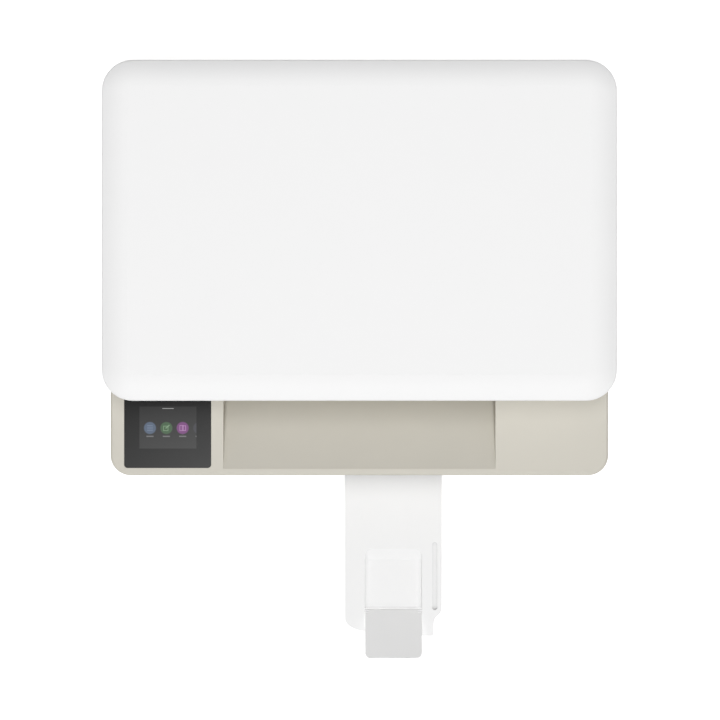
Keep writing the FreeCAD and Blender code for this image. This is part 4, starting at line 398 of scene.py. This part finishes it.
def display_finish():
    """Satin black glass with a painted reflection; the emission is built up shape by shape, back to front.
    """
    low, high = box_mm("display_glass")
    width, height = high[0] - low[0], high[1] - low[1]
    finish = Finish("display_glass", IOR=1.5, Specular_IOR_Level=0.08, Emission_Strength=1.0)
    x = finish.x - low[0]
    y = finish.y - low[1]
    # painted shade under the lid: 0 at the lid's edge, 1 at the front of the glass
    out_of_lid_shade = (1 - y / height).clamp() ** 0.7
    screen = bar(x, y, SCREEN_AT, *SCREEN_HALF).inside(0.5)
    light = colour_mix(screen, grey(0.0), colour_mix(out_of_lid_shade, *SCREEN_GLOW_AND_SHADE))
    for at, fill, line, sign in buttons:
        middle = (at, BUTTON_ROW)
        light = colour_mix(disc(x, y, middle, BUTTON_RADIUS).inside(0.9) * screen, light, fill)
        light = colour_mix(sign(x, y, middle).inside(0.35) * screen, light, line)
        caption = bar(x, y, (at, CAPTION_ROW), *CAPTION_HALF).inside(0.5) * screen
        light = colour_mix(caption, light, CAPTION_GREY)
    dash = bar(x, y, DASH_AT, *DASH_HALF).inside(0.3)
    finish.link("Emission Color", colour_mix(dash, light, DASH_GREY))
    smear = finish.noise(14.0, 4.0)
    # painted reflection of the softbox: the glass's colour pales towards the front and the right
    painted_reflection = out_of_lid_shade * (0.62 + x * (0.38 / width)) + (smear - 0.5) * 0.06
    finish.link("Base Color", colour_mix(painted_reflection, *GLASS_PAINTED_REFLECTION))
    finish.link("Roughness", 0.30 + smear * 0.08)
    print("display", round(width, 1), "x", round(height, 1), "mm")
    return finish.material


finishes["display_black"] = display_finish()

# %% [markdown]
# ## Glass, foam and rubber
# Lifting the lid shows the scanner's glass and the white foam pad that presses a page onto it. Float
# glass is clear with a trace of green and a few wiped smears in its gloss. The pad is a foam sheet with a
# woven-looking skin, so its bump is a mesh of fine cells. Rubber is dull, nearly black, and holds a
# little pale dust.

# %% Clear glass, foam pad, rubber
def glass_finish():
    finish = Finish("scan_glass", IOR=1.52, Transmission_Weight=1.0)
    smear = finish.noise(30.0, 5.0, finish.stretched(1.0, 0.3, 1.0))
    finish.link("Base Color", colour_mix(smear, (0.90, 0.95, 0.93, 1.0), (0.94, 0.98, 0.96, 1.0)))
    finish.link("Roughness", 0.01 + smear * 0.05)
    return finish.material


def foam_finish():
    finish = Finish("foam_pad", IOR=1.4, Specular_IOR_Level=0.25)
    skin = finish.cells(0.9)
    cloud = finish.noise(50.0)
    finish.link("Base Color", colour_mix(cloud, (0.84, 0.84, 0.83, 1.0), (0.88, 0.88, 0.87, 1.0)))
    finish.link("Roughness", 0.75 + skin * 0.15)
    finish.bump(skin, 0.08)
    return finish.material


def rubber_finish():
    finish = Finish("soft_rubber", IOR=1.5, Specular_IOR_Level=0.3)
    # on the rubber this noise is pale dust only, not shade
    dust_and_shade = finish.noise(2.2, 4.0)
    finish.link("Base Color", colour_mix(dust_and_shade, grey(0.018), (0.05, 0.048, 0.046, 1.0)))
    finish.link("Roughness", 0.72 + dust_and_shade * 0.2)
    finish.bump(finish.noise(0.5), 0.03)
    return finish.material


finishes["clear_glass"] = glass_finish()
finishes["pad_white"] = foam_finish()
finishes["soft_rubber"] = rubber_finish()
print("soft and clear:", [finishes[name].name for name in ("clear_glass", "pad_white", "soft_rubber")])

# %% [markdown]
# ## Metal, gears and boards
# The frames are zinc-plated sheet: a cool grey with cloudy spangle and faint rolling lines along its
# length. Rods and pins are ground, so their fine rings run round them. Gears are natural acetal, a milky
# off-white with a waxy gloss. The circuit board has green lacquer over copper lines and black parts
# soldered onto it.

# %% Plated sheet, ground rods, acetal
def plated_finish():
    finish = Finish("plated_sheet", Metallic=1.0)
    spangle = finish.cells(7.0)
    rolling = finish.noise(1.0, 3.0, finish.stretched(0.04, 1.6, 1.6))
    finish.link("Base Color", colour_mix(spangle, (0.52, 0.53, 0.55, 1.0), (0.68, 0.69, 0.70, 1.0)))
    finish.link("Roughness", 0.26 + spangle * 0.1 + rolling * 0.14)
    finish.bump(rolling, 0.006)
    return finish.material


def ground_finish():
    finish = Finish("ground_steel", Metallic=1.0)
    rings = finish.noise(0.35, 2.0, finish.stretched(1.0, 0.05, 0.05))
    finish.link("Base Color", colour_mix(rings, (0.60, 0.60, 0.61, 1.0), (0.72, 0.72, 0.72, 1.0)))
    finish.link("Roughness", 0.12 + rings * 0.14)
    finish.bump(rings, 0.003)
    return finish.material


def acetal_finish():
    finish = Finish("acetal", IOR=1.48, Subsurface_Weight=0.15, Subsurface_Scale=0.002)
    cloud = finish.noise(5.0, 3.0)
    finish.link("Base Color", colour_mix(cloud, (0.76, 0.75, 0.70, 1.0), (0.84, 0.83, 0.78, 1.0)))
    finish.link("Roughness", 0.28 + cloud * 0.14)
    finish.bump(finish.noise(0.8), 0.008)
    return finish.material


finishes["plated_steel"] = plated_finish()
finishes["gear_white"] = acetal_finish()
ground = ground_finish()
print("metals:", finishes["plated_steel"].name, ground.name)

# %% The circuit board
COPPER_PITCH = 1.3
COPPER_HALF = 0.2
SOLDER_PITCH = 3 * COPPER_PITCH
BARE_BOARD = 1.7


def copper_lines(place):
    """Parallel lines: how far a point is from the middle of its own pitch, cut off at half a line."""
    return (abs(place % COPPER_PITCH - COPPER_PITCH / 2) - COPPER_HALF).inside(0.12)


def board_finish():
    """Copper lines under green lacquer, in patches that run along or up the board, with solder dots in a
    square pattern, and black for all that stands above the bare board."""
    low, high = box_mm("main_board")
    finish = Finish("circuit_board", IOR=1.5)
    along, up = finish.y, finish.z
    turned = finish.cells(13.0, finish.stretched(0.0, 1.0, 1.0)) > 0.42
    copper = copper_lines(up) * turned + copper_lines(along) * (1 - turned)
    east = along % SOLDER_PITCH - SOLDER_PITCH / 2
    north = up % SOLDER_PITCH - SOLDER_PITCH / 2
    solder = disc(east, north, (0.0, 0.0), 0.45).inside(0.15) * (finish.noise(17.0) > 0.52)
    part = (finish.x - (low[0] + BARE_BOARD)).inside(0.05)
    lacquer = colour_mix(copper, (0.010, 0.085, 0.032, 1.0), (0.022, 0.16, 0.060, 1.0))
    skin = colour_mix(solder, lacquer, (0.62, 0.61, 0.58, 1.0))
    finish.link("Base Color", colour_mix(part, skin, (0.014, 0.014, 0.015, 1.0)))
    finish.link("Roughness", 0.3 + part * 0.25)
    finish.bump(copper + solder, 0.03)
    print("board", round(high[1] - low[1]), "x", round(high[2] - low[2]), "mm")
    return finish.material


finishes["board_green"] = board_finish()

# %% [markdown]
# ## Pieces of two materials
# A few solids stand for an assembly that is never taken apart: brass pins moulded into the black inlet, a
# white tongue inside the steel data port, a lens strip in the sensor bar, and the scanner's well, which
# is blackened inside so that no stray light reaches the sensor. One mask each, measured from the solid's
# own box, changes from the one material to the other.

# %% Masks for the inlet, the data port, the sensor bar and the scanner's well
def inlet_pins(finish):
    """The two round pins, 8.6 mm apart, that stand up from the socket's floor."""
    low, high = box_mm("power_inlet")
    middle = (low + high) / 2
    aside = abs(finish.x - middle[0])
    return disc(aside, finish.z, (4.3, middle[2]), 1.45).inside(0.1) * (finish.y > low[1] + 4.3)


def port_tongue(finish):
    """The flat tongue in the middle of the port."""
    low, high = box_mm("usb_port")
    middle = ((low + high) / 2)[[0, 2]]
    return bar(finish.x, finish.z, middle, 3.2, 1.8).inside(0.1) * (finish.y > low[1] + 1.0)


def lens_strip(finish):
    """A narrow strip along the middle of the bar's top."""
    low, high = box_mm("scan_bar")
    return (abs(finish.x - (low[0] + high[0]) / 2) - 1.6).inside(0.2) * (finish.z > high[2] - 0.5)


def scanner_well(finish):
    """All that lies within the walls of the scanner's base, 1.2 mm in, and above its floor."""
    low, high = box_mm("scanner_base")
    centre = (low + high) / 2
    half = (high - low) / 2 - 1.2
    within = plate(finish.x, finish.y, centre, half[0], half[1], 20.8).inside(0.3)
    return within * (finish.z > low[2] + 1.2)


print("masks:", [mask.__name__ for mask in (inlet_pins, port_tongue, lens_strip, scanner_well)])

# %% Two colours, two glosses
def two_part(name, mask_of, outer, inner, metal=(0.0, 0.0), rough=(0.5, 0.5)):
    """A finish with an outer and an inner colour, metalness and roughness, told apart by a mask."""
    finish = Finish(name, IOR=1.5, Specular_IOR_Level=0.4)
    mask = mask_of(finish)
    fine = finish.noise(GRAIN, 3.0)
    cloud = finish.noise(CLOUD)
    first = colour_mix(cloud, tone(outer, 1 - WANDER), tone(outer, 1 + WANDER))
    second = colour_mix(cloud, tone(inner, 0.9), tone(inner, 1.1))
    finish.link("Base Color", colour_mix(mask, first, second))
    finish.link("Metallic", metal[0] + mask * (metal[1] - metal[0]))
    finish.link("Roughness", rough[0] + mask * (rough[1] - rough[0]) + (fine - 0.5) * 0.16)
    finish.bump(fine, GRAIN_DEPTH)
    return finish.material


BRASS = (0.72, 0.56, 0.30, 1.0)
special = {
    "power_inlet": two_part("inlet_black", inlet_pins, grey(0.022), BRASS, (0.0, 1.0), (0.5, 0.25)),
    "usb_port": two_part("port_steel", port_tongue, grey(0.62), grey(0.70), (1.0, 0.0), (0.28, 0.45)),
    "scan_bar": two_part("sensor_bar", lens_strip, grey(0.024), grey(0.55), rough=(0.5, 0.15)),
    "scanner_base": two_part("scanner_shell", scanner_well, WHITE, grey(0.035), rough=(0.55, 0.7)),
}
GROUND_PIECES = ("carriage_rod", "scan_rod", "hinge_pins", "case_screws", "feed_roller", "eject_roller")
special.update(dict.fromkeys(("print_carriage", "pinch_bar", "star_bar"), carriage_black))
special.update(dict.fromkeys(("output_extension", "stop_flap"), tray_white))
special.update(dict.fromkeys(GROUND_PIECES, ground))
print(len(special), "solids get a finish of their own")

# %% [markdown]
# ## Giving every solid its finish
# The record that came with the solids says which slot each of them takes its finish from, so one loop
# dresses them all. Those with a finish of their own take that one instead.

# %% Dress the solids
slot_of = {part["node"]: part["material_slot"] for part in frame["record"]["subparts"]}
for name, solid in nodes.items():
    solid.data.materials.clear()
    solid.data.materials.append(special.get(name) or finishes[slot_of[name]])
print("dressed", len(slot_of), "solids in", len(set(slot_of.values())), "slots")

# %% [markdown]
# ## Shapes from whole arrays
# The small pieces that are left are surfaces worked out with numpy. Nearly all are one idea: a flat
# profile carried along a path. Its points make a grid, path by profile, and so do its faces, so no loop
# over points is needed. Rows of small raised marks are the other idea: eight corners, repeated at every
# place by broadcasting.

# %% A profile along a path, and many small marks
def swept(path, side, up, profile, closed=False):
    """A profile carried along a path: point (i, j) is path point i, plus profile point j's two numbers
    times the side and the up direction there. A closed path joins up, and an open one gets a flat cap at
    each end."""
    path = np.asarray(path, float)
    side = np.broadcast_to(np.asarray(side, float), path.shape)
    up = np.broadcast_to(np.asarray(up, float), path.shape)
    profile = np.asarray(profile, float)
    if np.dot(path[1] - path[0], np.cross(side[0], up[0])) < 0:
        profile = profile[..., ::-1, :]
    points = path[:, None] + profile[..., :1] * side[:, None] + profile[..., 1:] * up[:, None]
    rows, across = points.shape[:2]
    here = np.arange(rows * across).reshape(rows, across)
    ahead = np.roll(here, -1, axis=0)
    quads = np.stack([here, np.roll(here, -1, axis=1), np.roll(ahead, -1, axis=1), ahead], axis=-1)
    if closed:
        return points.reshape(-1, 3), quads.reshape(-1, 4).tolist()
    caps = [here[0, ::-1].tolist(), here[-1].tolist()]
    return points.reshape(-1, 3), quads[:-1].reshape(-1, 4).tolist() + caps


SIDES = np.array([(0, 1, 3, 2), (4, 6, 7, 5), (0, 4, 5, 1), (2, 3, 7, 6), (0, 2, 6, 4), (1, 5, 7, 3)])


def marks(centres, sizes):
    """Many small raised marks in one mesh: a mark's 8 corners are its centre plus half its size times
    signs."""
    signs = np.stack(np.meshgrid([-1, 1], [-1, 1], [-1, 1], indexing="ij"), axis=-1).reshape(8, 3)
    centres = np.asarray(centres, float)
    halves = np.broadcast_to(np.asarray(sizes, float) / 2, centres.shape)
    points = centres[:, None] + signs * halves[:, None]
    faces = SIDES + 8 * np.arange(len(centres))[:, None, None]
    return points.reshape(-1, 3), faces.reshape(-1, 4).tolist()


print("one mark has", len(marks([(0, 0, 0)], (1, 1, 1))[1]), "faces")

# %% Outlines, and a piece from a shape
ALONG_X, ALONG_Y, ALONG_Z = np.eye(3)


def rounded(half_width, half_height, radius, steps=6):
    """A round-cornered rectangle, anticlockwise: corner centres plus the radius in directions all round."""
    quarter = np.linspace(0, np.pi / 2, steps)
    angles = quarter + np.pi / 2 * np.arange(4)[:, None]
    reach = (half_width - radius, half_height - radius)
    centres = np.array([(1, 1), (-1, 1), (-1, -1), (1, -1)]) * reach
    round_part = radius * np.stack([np.cos(angles), np.sin(angles)], axis=-1)
    return (centres[:, None] + round_part).reshape(-1, 2)


def rectangle(low_side, high_side, low_up, high_up):
    """The four corners of a profile, anticlockwise."""
    return [(low_side, low_up), (high_side, low_up), (high_side, high_up), (low_side, high_up)]


def add_piece(name, shape, finish, body, smooth=False):
    """A new object from a shape in mm: it sits at the origin, rides on a body and takes a finish."""
    points, faces = shape
    mesh = bpy.data.meshes.new(name)
    mesh.from_pydata((points * MM).tolist(), [], faces)
    mesh.polygons.foreach_set("use_smooth", np.full(len(faces), smooth))
    mesh.materials.append(finish)
    piece = bpy.data.objects.new(name, mesh)
    scene.collection.objects.link(piece)
    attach(piece, body)
    print(name, "has", len(faces), "faces and rides on", body)
    return piece


print("a round-cornered outline has", len(rounded(10, 5, 2)), "points")

# %% [markdown]
# ## The document pad
# The pad under the lid is a soft foam sheet glued at its back. Its rim is rounded where it was cut and
# pressed, and its face is never quite flat. A plain slab would show hard edges, so the pad is an outline
# drawn in towards the middle, row by row: round the rim as a quarter circle, then across the face with a
# slow wave of a few tenths of a millimetre. Cloth simulation would add nothing to so stiff a sheet.

# %% Rows of the pad, from its glued back round the rim to its face
RIM = 2.2
BACK_EDGE = 0.7
BACK_INSET = 14.0
PAD_CORNER = 5.0
pad_low, pad_high = box_mm("document_pad")
pad_half = (pad_high - pad_low) / 2
pad_middle = (pad_high + pad_low) / 2
pad_thick = 2 * pad_half[2]
rim_turn = np.linspace(0, np.pi / 2, 8)
face_inset = np.linspace(RIM + 3.0, 0.94 * pad_half[1], 26)
inset = np.concatenate([[BACK_INSET, BACK_EDGE, 0.0], RIM * (1 - np.cos(rim_turn)), face_inset])
rim_drop = pad_thick - RIM * (1 - np.sin(rim_turn))
drop = np.concatenate([[0.0, 0.0, BACK_EDGE], rim_drop, np.full(len(face_inset), pad_thick)])
print("pad", len(inset), "rows,", round(pad_thick, 2), "mm thick")

# %% Foam sheet with a rounded rim
WAVE = 0.18
pad_path = np.column_stack([np.tile(pad_middle[:2], (len(inset), 1)), pad_high[2] - drop])
pad_outline = rounded(pad_half[0], pad_half[1], PAD_CORNER, 24)
pad_rows = pad_outline * (1 - inset[:, None, None] / pad_half[:2])
pad_points, pad_faces = swept(pad_path, ALONG_X, ALONG_Y, pad_rows)
pad_wave = 1 + np.sin(pad_points[:, 0] / 21.0) * np.sin(pad_points[:, 1] / 17.0 + 0.8)
on_face = np.clip((pad_middle[2] - pad_points[:, 2]) / pad_half[2], 0, 1) ** 4
pad_points[:, 2] += WAVE * pad_wave * on_face
pad_shape = (pad_points, pad_faces)
pad = add_piece("foam_document_pad", pad_shape, finishes["pad_white"], "lid", True)
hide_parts("document_pad")

# %% [markdown]
# ## The toothed belt
# The carriage is pulled by a toothed belt. The solid is a plain band, so this piece takes its place with
# the same back and width, and with teeth inside. Its path is a stadium: along the straight runs the
# centre slides from one pulley to the other, and round the pulleys the direction turns, so both are
# linear in the way round. Four rows make a tooth and the gap after it.

# %% The way round the pulleys
TOOTH_PITCH = 2.0
TOOTH_ROWS = np.array([0.0, 0.12, 0.5, 0.62])
belt_low, belt_high = box_mm("drive_belt")
belt_middle = (belt_low + belt_high) / 2
belt_radius = (belt_high[2] - belt_low[2]) / 2
belt_left = belt_low[0] + belt_radius
belt_right = belt_high[0] - belt_radius
run = belt_right - belt_left
half_turn = np.pi * belt_radius
belt_length = 2 * (run + half_turn)
teeth = round(belt_length / TOOTH_PITCH)
way = (np.arange(teeth)[:, None] + TOOTH_ROWS).ravel() / teeth * belt_length
knots = np.cumsum([0, run, half_turn, run, half_turn])
centre_x = np.interp(way, knots, [belt_left, belt_right, belt_right, belt_left, belt_left])
direction = np.interp(way, knots, np.pi * np.array([0.5, 0.5, -0.5, -0.5, -1.5]))
outward = np.column_stack([np.cos(direction), np.zeros_like(way), np.sin(direction)])
belt_path = np.column_stack([centre_x, np.tile(belt_middle[1:], (len(way), 1))])
print(teeth, "teeth on", round(belt_length), "mm of belt")

# %% Belt with teeth
BELT_THICK = 1.2
TOOTH_DEPTH = 0.5
belt_half = (belt_high[1] - belt_low[1]) / 2
inside_face = belt_radius - BELT_THICK + TOOTH_DEPTH * np.tile([1.0, 0.0, 0.0, 1.0], teeth)
back_face = np.full_like(way, belt_radius)
profile_up = np.stack([inside_face, inside_face, back_face, back_face], axis=1)
profile_side = np.broadcast_to([-belt_half, belt_half, belt_half, -belt_half], profile_up.shape)
belt_rows = np.stack([profile_side, profile_up], axis=-1)
belt_shape = swept(belt_path, ALONG_Y, outward, belt_rows, closed=True)
belt = add_piece("toothed_belt", belt_shape, finishes["soft_rubber"], "base")
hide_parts("drive_belt")

# %% [markdown]
# ## The encoder strip
# A print carriage knows where it is by reading a strip of clear film with fine dark lines, stretched from
# frame to frame above its path. Two small sheet hooks hold the strip, and a forked reader on the carriage
# straddles it. All of them run along X, so each is a profile across the strip, carried from one end to
# the other.

# %% Where the strip runs
def corners_of(name):
    """All corner points of a solid, as one array in millimetres."""
    mesh = nodes[name].data
    flat = np.empty(len(mesh.vertices) * 3)
    mesh.vertices.foreach_get("co", flat)
    return flat.reshape(-1, 3) / MM


carriage_points = corners_of("print_carriage")
clamp = carriage_points[carriage_points[:, 1] > box_mm("print_carriage")[1][1] - 2.0]
clamp_low, clamp_high = clamp.min(axis=0), clamp.max(axis=0)
frame_left = box_mm("left_frame")[1][0]
frame_right = box_mm("chassis_beam")[1][0]
strip_y = clamp_high[1] - 12.5
strip_z = clamp_high[2] + 1.4


def along_strip(start, end, profile):
    """A profile across the strip, carried along it between two places on X."""
    ends = [(start, strip_y, strip_z), (end, strip_y, strip_z)]
    return swept(ends, ALONG_Y, ALONG_Z, profile)


print("strip", round(frame_right - frame_left), "mm long")

# %% Film, hooks and reader
STRIP_HEIGHT = 6.0
STRIP_HALF = 0.1
HOOK = 0.8
LINE_PITCH = 0.34


def film_finish():
    """Smoky clear film, with dark lines a third of a millimetre apart."""
    finish = Finish("line_film", IOR=1.5, Roughness=0.2, Alpha=0.62)
    lines = (abs(finish.x % LINE_PITCH - LINE_PITCH / 2) - LINE_PITCH / 4).inside(0.05)
    finish.link("Base Color", colour_mix(lines, (0.42, 0.43, 0.44, 1.0), (0.06, 0.06, 0.065, 1.0)))
    return finish.material


strip_profile = rectangle(-STRIP_HALF, STRIP_HALF, 0.0, STRIP_HEIGHT)
strip_shape = along_strip(frame_left + HOOK, frame_right - HOOK, strip_profile)
add_piece("encoder_strip", strip_shape, film_finish(), "base")
hook_profile = rectangle(-2.5, 2.5, -7.0, STRIP_HEIGHT + 0.8)
for name, start in (("left", frame_left), ("right", frame_right - HOOK)):
    hook_shape = along_strip(start, start + HOOK, hook_profile)
    add_piece(name + "_strip_hook", hook_shape, finishes["plated_steel"], "base")

# %% The forked reader on the carriage
FORK_WALL = 2.0
FORK_SLOT = 0.7
FORK_END = 2.0
slot_floor = -0.5
fork_foot = clamp_high[2] - strip_z
fork_top = STRIP_HEIGHT - 0.5
outer = FORK_SLOT + FORK_WALL
fork_profile = [(-outer, fork_foot), (outer, fork_foot), (outer, fork_top), (FORK_SLOT, fork_top)]
fork_profile += [(FORK_SLOT, slot_floor), (-FORK_SLOT, slot_floor)]
fork_profile += [(-FORK_SLOT, fork_top), (-outer, fork_top)]
fork_shape = along_strip(clamp_low[0] + FORK_END, clamp_high[0] - FORK_END, fork_profile)
add_piece("strip_reader", fork_shape, finishes["supply_black"], "carriage")

# %% [markdown]
# ## Labels on the cartridges
# Each ink cartridge carries a plain paper label with bands in its inks' colours, so that a user puts it
# on the right side. The label is a thin round-cornered plate. Its bands are stripes of the material,
# measured from the label's front edge.

# %% Two paper labels
def label_finish(name, front, bands):
    """Pale coated paper with coloured bands: each band is a stripe of given start and width along Y."""
    finish = Finish(name, IOR=1.5, Specular_IOR_Level=0.35)
    fibre = finish.noise(0.6, 4.0, finish.stretched(1.0, 0.4, 1.0))
    colour = colour_mix(fibre, grey(0.74), grey(0.80))
    for start, width, ink in bands:
        stripe = (abs(finish.y - (front + start + width / 2)) - width / 2).inside(0.15)
        colour = colour_mix(stripe, colour, ink)
    finish.link("Base Color", colour)
    finish.link("Roughness", 0.38 + fibre * 0.15)
    finish.bump(fibre, 0.01)
    return finish.material


PAPER = 0.15
LABEL_MARGIN = (3.5, 4.0)
LABEL_HALF_LENGTH = 16.0
CYAN, MAGENTA, YELLOW = linear(0, 150, 200), linear(200, 30, 120), linear(240, 205, 20)
INKS = [(4.0, 3.4, CYAN), (7.4, 3.4, MAGENTA), (10.8, 3.4, YELLOW)]
label_bands = {
    "black_cartridge": [(4.0, 9.0, grey(0.012)), (15.0, 1.2, grey(0.25))],
    "colour_cartridge": [*INKS, (16.2, 1.2, grey(0.25))],
}
for cartridge, bands in label_bands.items():
    low, high = box_mm(cartridge)
    label_half = ((high[0] - low[0]) / 2 - LABEL_MARGIN[0], LABEL_HALF_LENGTH)
    label_at = ((low[0] + high[0]) / 2, low[1] + LABEL_MARGIN[1] + label_half[1])
    paper = label_finish(cartridge.replace("cartridge", "label"), label_at[1] - label_half[1], bands)
    label_path = [(*label_at, high[2]), (*label_at, high[2] + PAPER)]
    label_shape = swept(label_path, ALONG_X, ALONG_Y, rounded(*label_half, 2.0))
    add_piece(paper.name, label_shape, paper, "carriage")

# %% [markdown]
# ## Scales and signs
# Beside the scanner's glass a scale shows where a page lies, with an arrow at the corner where it starts.
# The paper tray has marks for the usual sheet widths and the outline of a sheet. The button at the back
# carries the common sign for standby: an open ring and a bar. All are raised a tenth of a millimetre, as
# printing ink is.

# %% Ticks beside the glass
INK = 0.1
WINDOW_MARGIN = 2.0
FRAME_PLATE = 3.0
TICK_STEP = 10.0
TICK_WIDTH = 0.6
TICK_GAP = 1.5
LONG_TICK, SHORT_TICK = 3.6, 2.0
frame_top = box_mm("scanner_glass")[1][2] + FRAME_PLATE
window_low = pad_low - WINDOW_MARGIN
window_high = pad_high + WINDOW_MARGIN


def printed(centres, spans, level):
    """Marks printed on a level face: each has its own centre and span, and stands as high as the ink."""
    heights = np.full(len(centres), level + INK / 2)
    sizes = np.column_stack([spans, np.full(len(spans), INK)])
    return marks(np.column_stack([centres, heights]), sizes)


def ticks(axis):
    """Centres and spans of the ticks along one side of the window: one at each step, every fifth a long
    one, all starting at the same gap from the window."""
    along = np.arange(window_low[axis], window_high[axis] + 1, TICK_STEP)
    length = np.where(np.arange(len(along)) % 5 == 0, LONG_TICK, SHORT_TICK)
    outside = window_low[1 - axis] - TICK_GAP - length / 2
    order = 1 if axis == 0 else -1
    centres = np.column_stack((along, outside)[::order])
    spans = np.column_stack((np.full(len(along), TICK_WIDTH), length)[::order])
    return centres, spans


tick_centres, tick_spans = [np.concatenate(pair) for pair in zip(ticks(0), ticks(1))]
scale_shape = printed(tick_centres, tick_spans, frame_top)
add_piece("page_scale", scale_shape, finishes["guide_grey"], "scanner")

# %% Arrow at the corner of the glass
ARROW = [(-8.0, -8.0), (-12.6, -10.4), (-10.4, -12.6)]
arrow_path = [(*window_low[:2], frame_top), (*window_low[:2], frame_top + INK)]
arrow_shape = swept(arrow_path, ALONG_X, ALONG_Y, ARROW)
add_piece("page_corner_arrow", arrow_shape, finishes["guide_grey"], "scanner")

# %% Sheet marks in the tray
DECK_RISE = 6.1
SHEET_WIDTHS = (210.0, 148.0, 101.6)
WIDTH_MARK = (0.7, 9.0)
SYMBOL_AT = (-64.0, -40.0)
deck = box_mm("paper_tray")[0][2] + DECK_RISE
mark_y = box_mm("left_width_guide")[0][1] - 9.0
sheet_sides = np.outer(SHEET_WIDTHS, (-0.5, 0.5)).ravel()
width_marks = np.column_stack([sheet_sides, np.full(len(sheet_sides), mark_y)])
# the sheet: four border lines, then three lines of writing, each with its centre and its span
symbol = [(0, -14, 22, 0.6), (0, 14, 22, 0.6), (-11, 0, 0.6, 28.6), (11, 0, 0.6, 28.6)]
symbol += [(0, 6, 12, 0.6), (0, 2, 12, 0.6), (0, -2, 12, 0.6)]
symbol = np.array(symbol, float)
symbol_centres = symbol[:, :2] + (SYMBOL_AT[0], mark_y + SYMBOL_AT[1])
width_spans = np.broadcast_to(WIDTH_MARK, width_marks.shape)
mark_centres = np.concatenate([width_marks, symbol_centres])
mark_spans = np.concatenate([width_spans, symbol[:, 2:]])
tray_shape = printed(mark_centres, mark_spans, deck)
add_piece("sheet_marks", tray_shape, finishes["liner_white"], "tray")

# %% Standby sign on the button
SIGN_RADIUS = 2.7
SIGN_FROM, SIGN_TO = 125.0, 415.0
SIGN_POINTS = 40
SIGN_BAR = [(0, 0, 0.6), (0, 0, 3.6)]
sign_profile = rectangle(-0.3, 0.3, 0.0, INK)
button_low, button_high = box_mm("power_button")
sign_middle = (button_low + button_high) / 2
sign_middle[1] = button_high[1]
sign_turn = np.radians(np.linspace(SIGN_FROM, SIGN_TO, SIGN_POINTS))
ring_out = np.column_stack([np.cos(sign_turn), np.zeros(SIGN_POINTS), np.sin(sign_turn)])
ring_shape = swept(sign_middle + SIGN_RADIUS * ring_out, ring_out, ALONG_Y, sign_profile)
add_piece("standby_ring", ring_shape, finishes["liner_white"], "button")
bar_shape = swept(sign_middle + np.array(SIGN_BAR), ALONG_X, ALONG_Y, sign_profile)
add_piece("standby_bar", bar_shape, finishes["liner_white"], "button")

# %% [markdown]
# ## A white studio
# A large soft lamp stands over the printer, and the white room fills the rest. The two are balanced so
# that a level surface shows its colour as written. The floor and the sky are drawn white only for the
# camera and in mirrors, through the light path, so no extra light falls on the object and the floor keeps
# its faint shadow.

# %% Floor and sky
SEEN = ("Is Camera Ray", "Is Glossy Ray", "Is Transmission Ray")
AMBIENT = grey(0.16)
FLOOR_SHADE = grey(0.75)
FLOOR_GLOW = grey(0.62)
FLOOR_HALF = 6.0


def seen_directly(wire):
    """1 for rays from the camera, mirrors and glass, 0 for those that carry light between surfaces."""
    paths = [wire.node("ShaderNodeLightPath", None, None, name) for name in SEEN]
    return paths[0] & paths[1] & paths[2]


floor_mesh = bpy.data.meshes.new("studio_floor")
floor_corners = np.array([(-1, -1, 0), (1, -1, 0), (1, 1, 0), (-1, 1, 0)]) * FLOOR_HALF
floor_mesh.from_pydata(floor_corners.tolist(), [], [(0, 1, 2, 3)])
floor = bpy.data.objects.new("studio_floor", floor_mesh)
scene.collection.objects.link(floor)
pale = Finish("studio_floor", Roughness=0.9, Specular_IOR_Level=0.0, Base_Color=FLOOR_SHADE)
pale.shader.inputs["Emission Strength"].default_value = 1.0
pale.link("Emission Color", colour_mix(seen_directly(pale.bench), grey(0.0), FLOOR_GLOW))
floor_mesh.materials.append(pale.material)
world = bpy.data.worlds.new("white_room")
world.use_nodes = True
sky_colour = colour_mix(seen_directly(Wire(world.node_tree)), AMBIENT, grey(1.0))
world.node_tree.links.new(sky_colour.socket, world.node_tree.nodes["Background"].inputs["Color"])
scene.world = world
print("floor", len(floor_mesh.polygons), "face, room light", AMBIENT[0])

# %% [markdown]
# The lamp is one long softbox overhead that leans to the front: it reaches from a little behind the
# printer to well in front of it, and is narrow from side to side. That shape is what lights the front
# edge of the lid, dims its back edge, and leaves a soft dark line under the lid's overhang and along the
# sides of the hollow.

# %% The long softbox
LEAN = math.radians(16.5)
AWAY = 12.0
HALF_ACROSS, HALF_ALONG = math.radians(6), math.radians(40)
POWER = 1570.0
lamp_data = bpy.data.lights.new("long_softbox", "AREA")
lamp_data.shape = "RECTANGLE"
lamp_data.size = 2 * AWAY * math.tan(HALF_ACROSS)
lamp_data.size_y = 2 * AWAY * math.tan(HALF_ALONG)
lamp_data.energy = POWER
lamp = bpy.data.objects.new("long_softbox", lamp_data)
lamp.location = (0.0, -AWAY * math.sin(LEAN), AWAY * math.cos(LEAN))
lamp.rotation_euler = (LEAN, 0, 0)
scene.collection.objects.link(lamp)
scene.view_settings.view_transform = "Standard"
print("softbox", round(lamp_data.size, 2), "x", round(lamp_data.size_y, 2), "m,", POWER, "W")
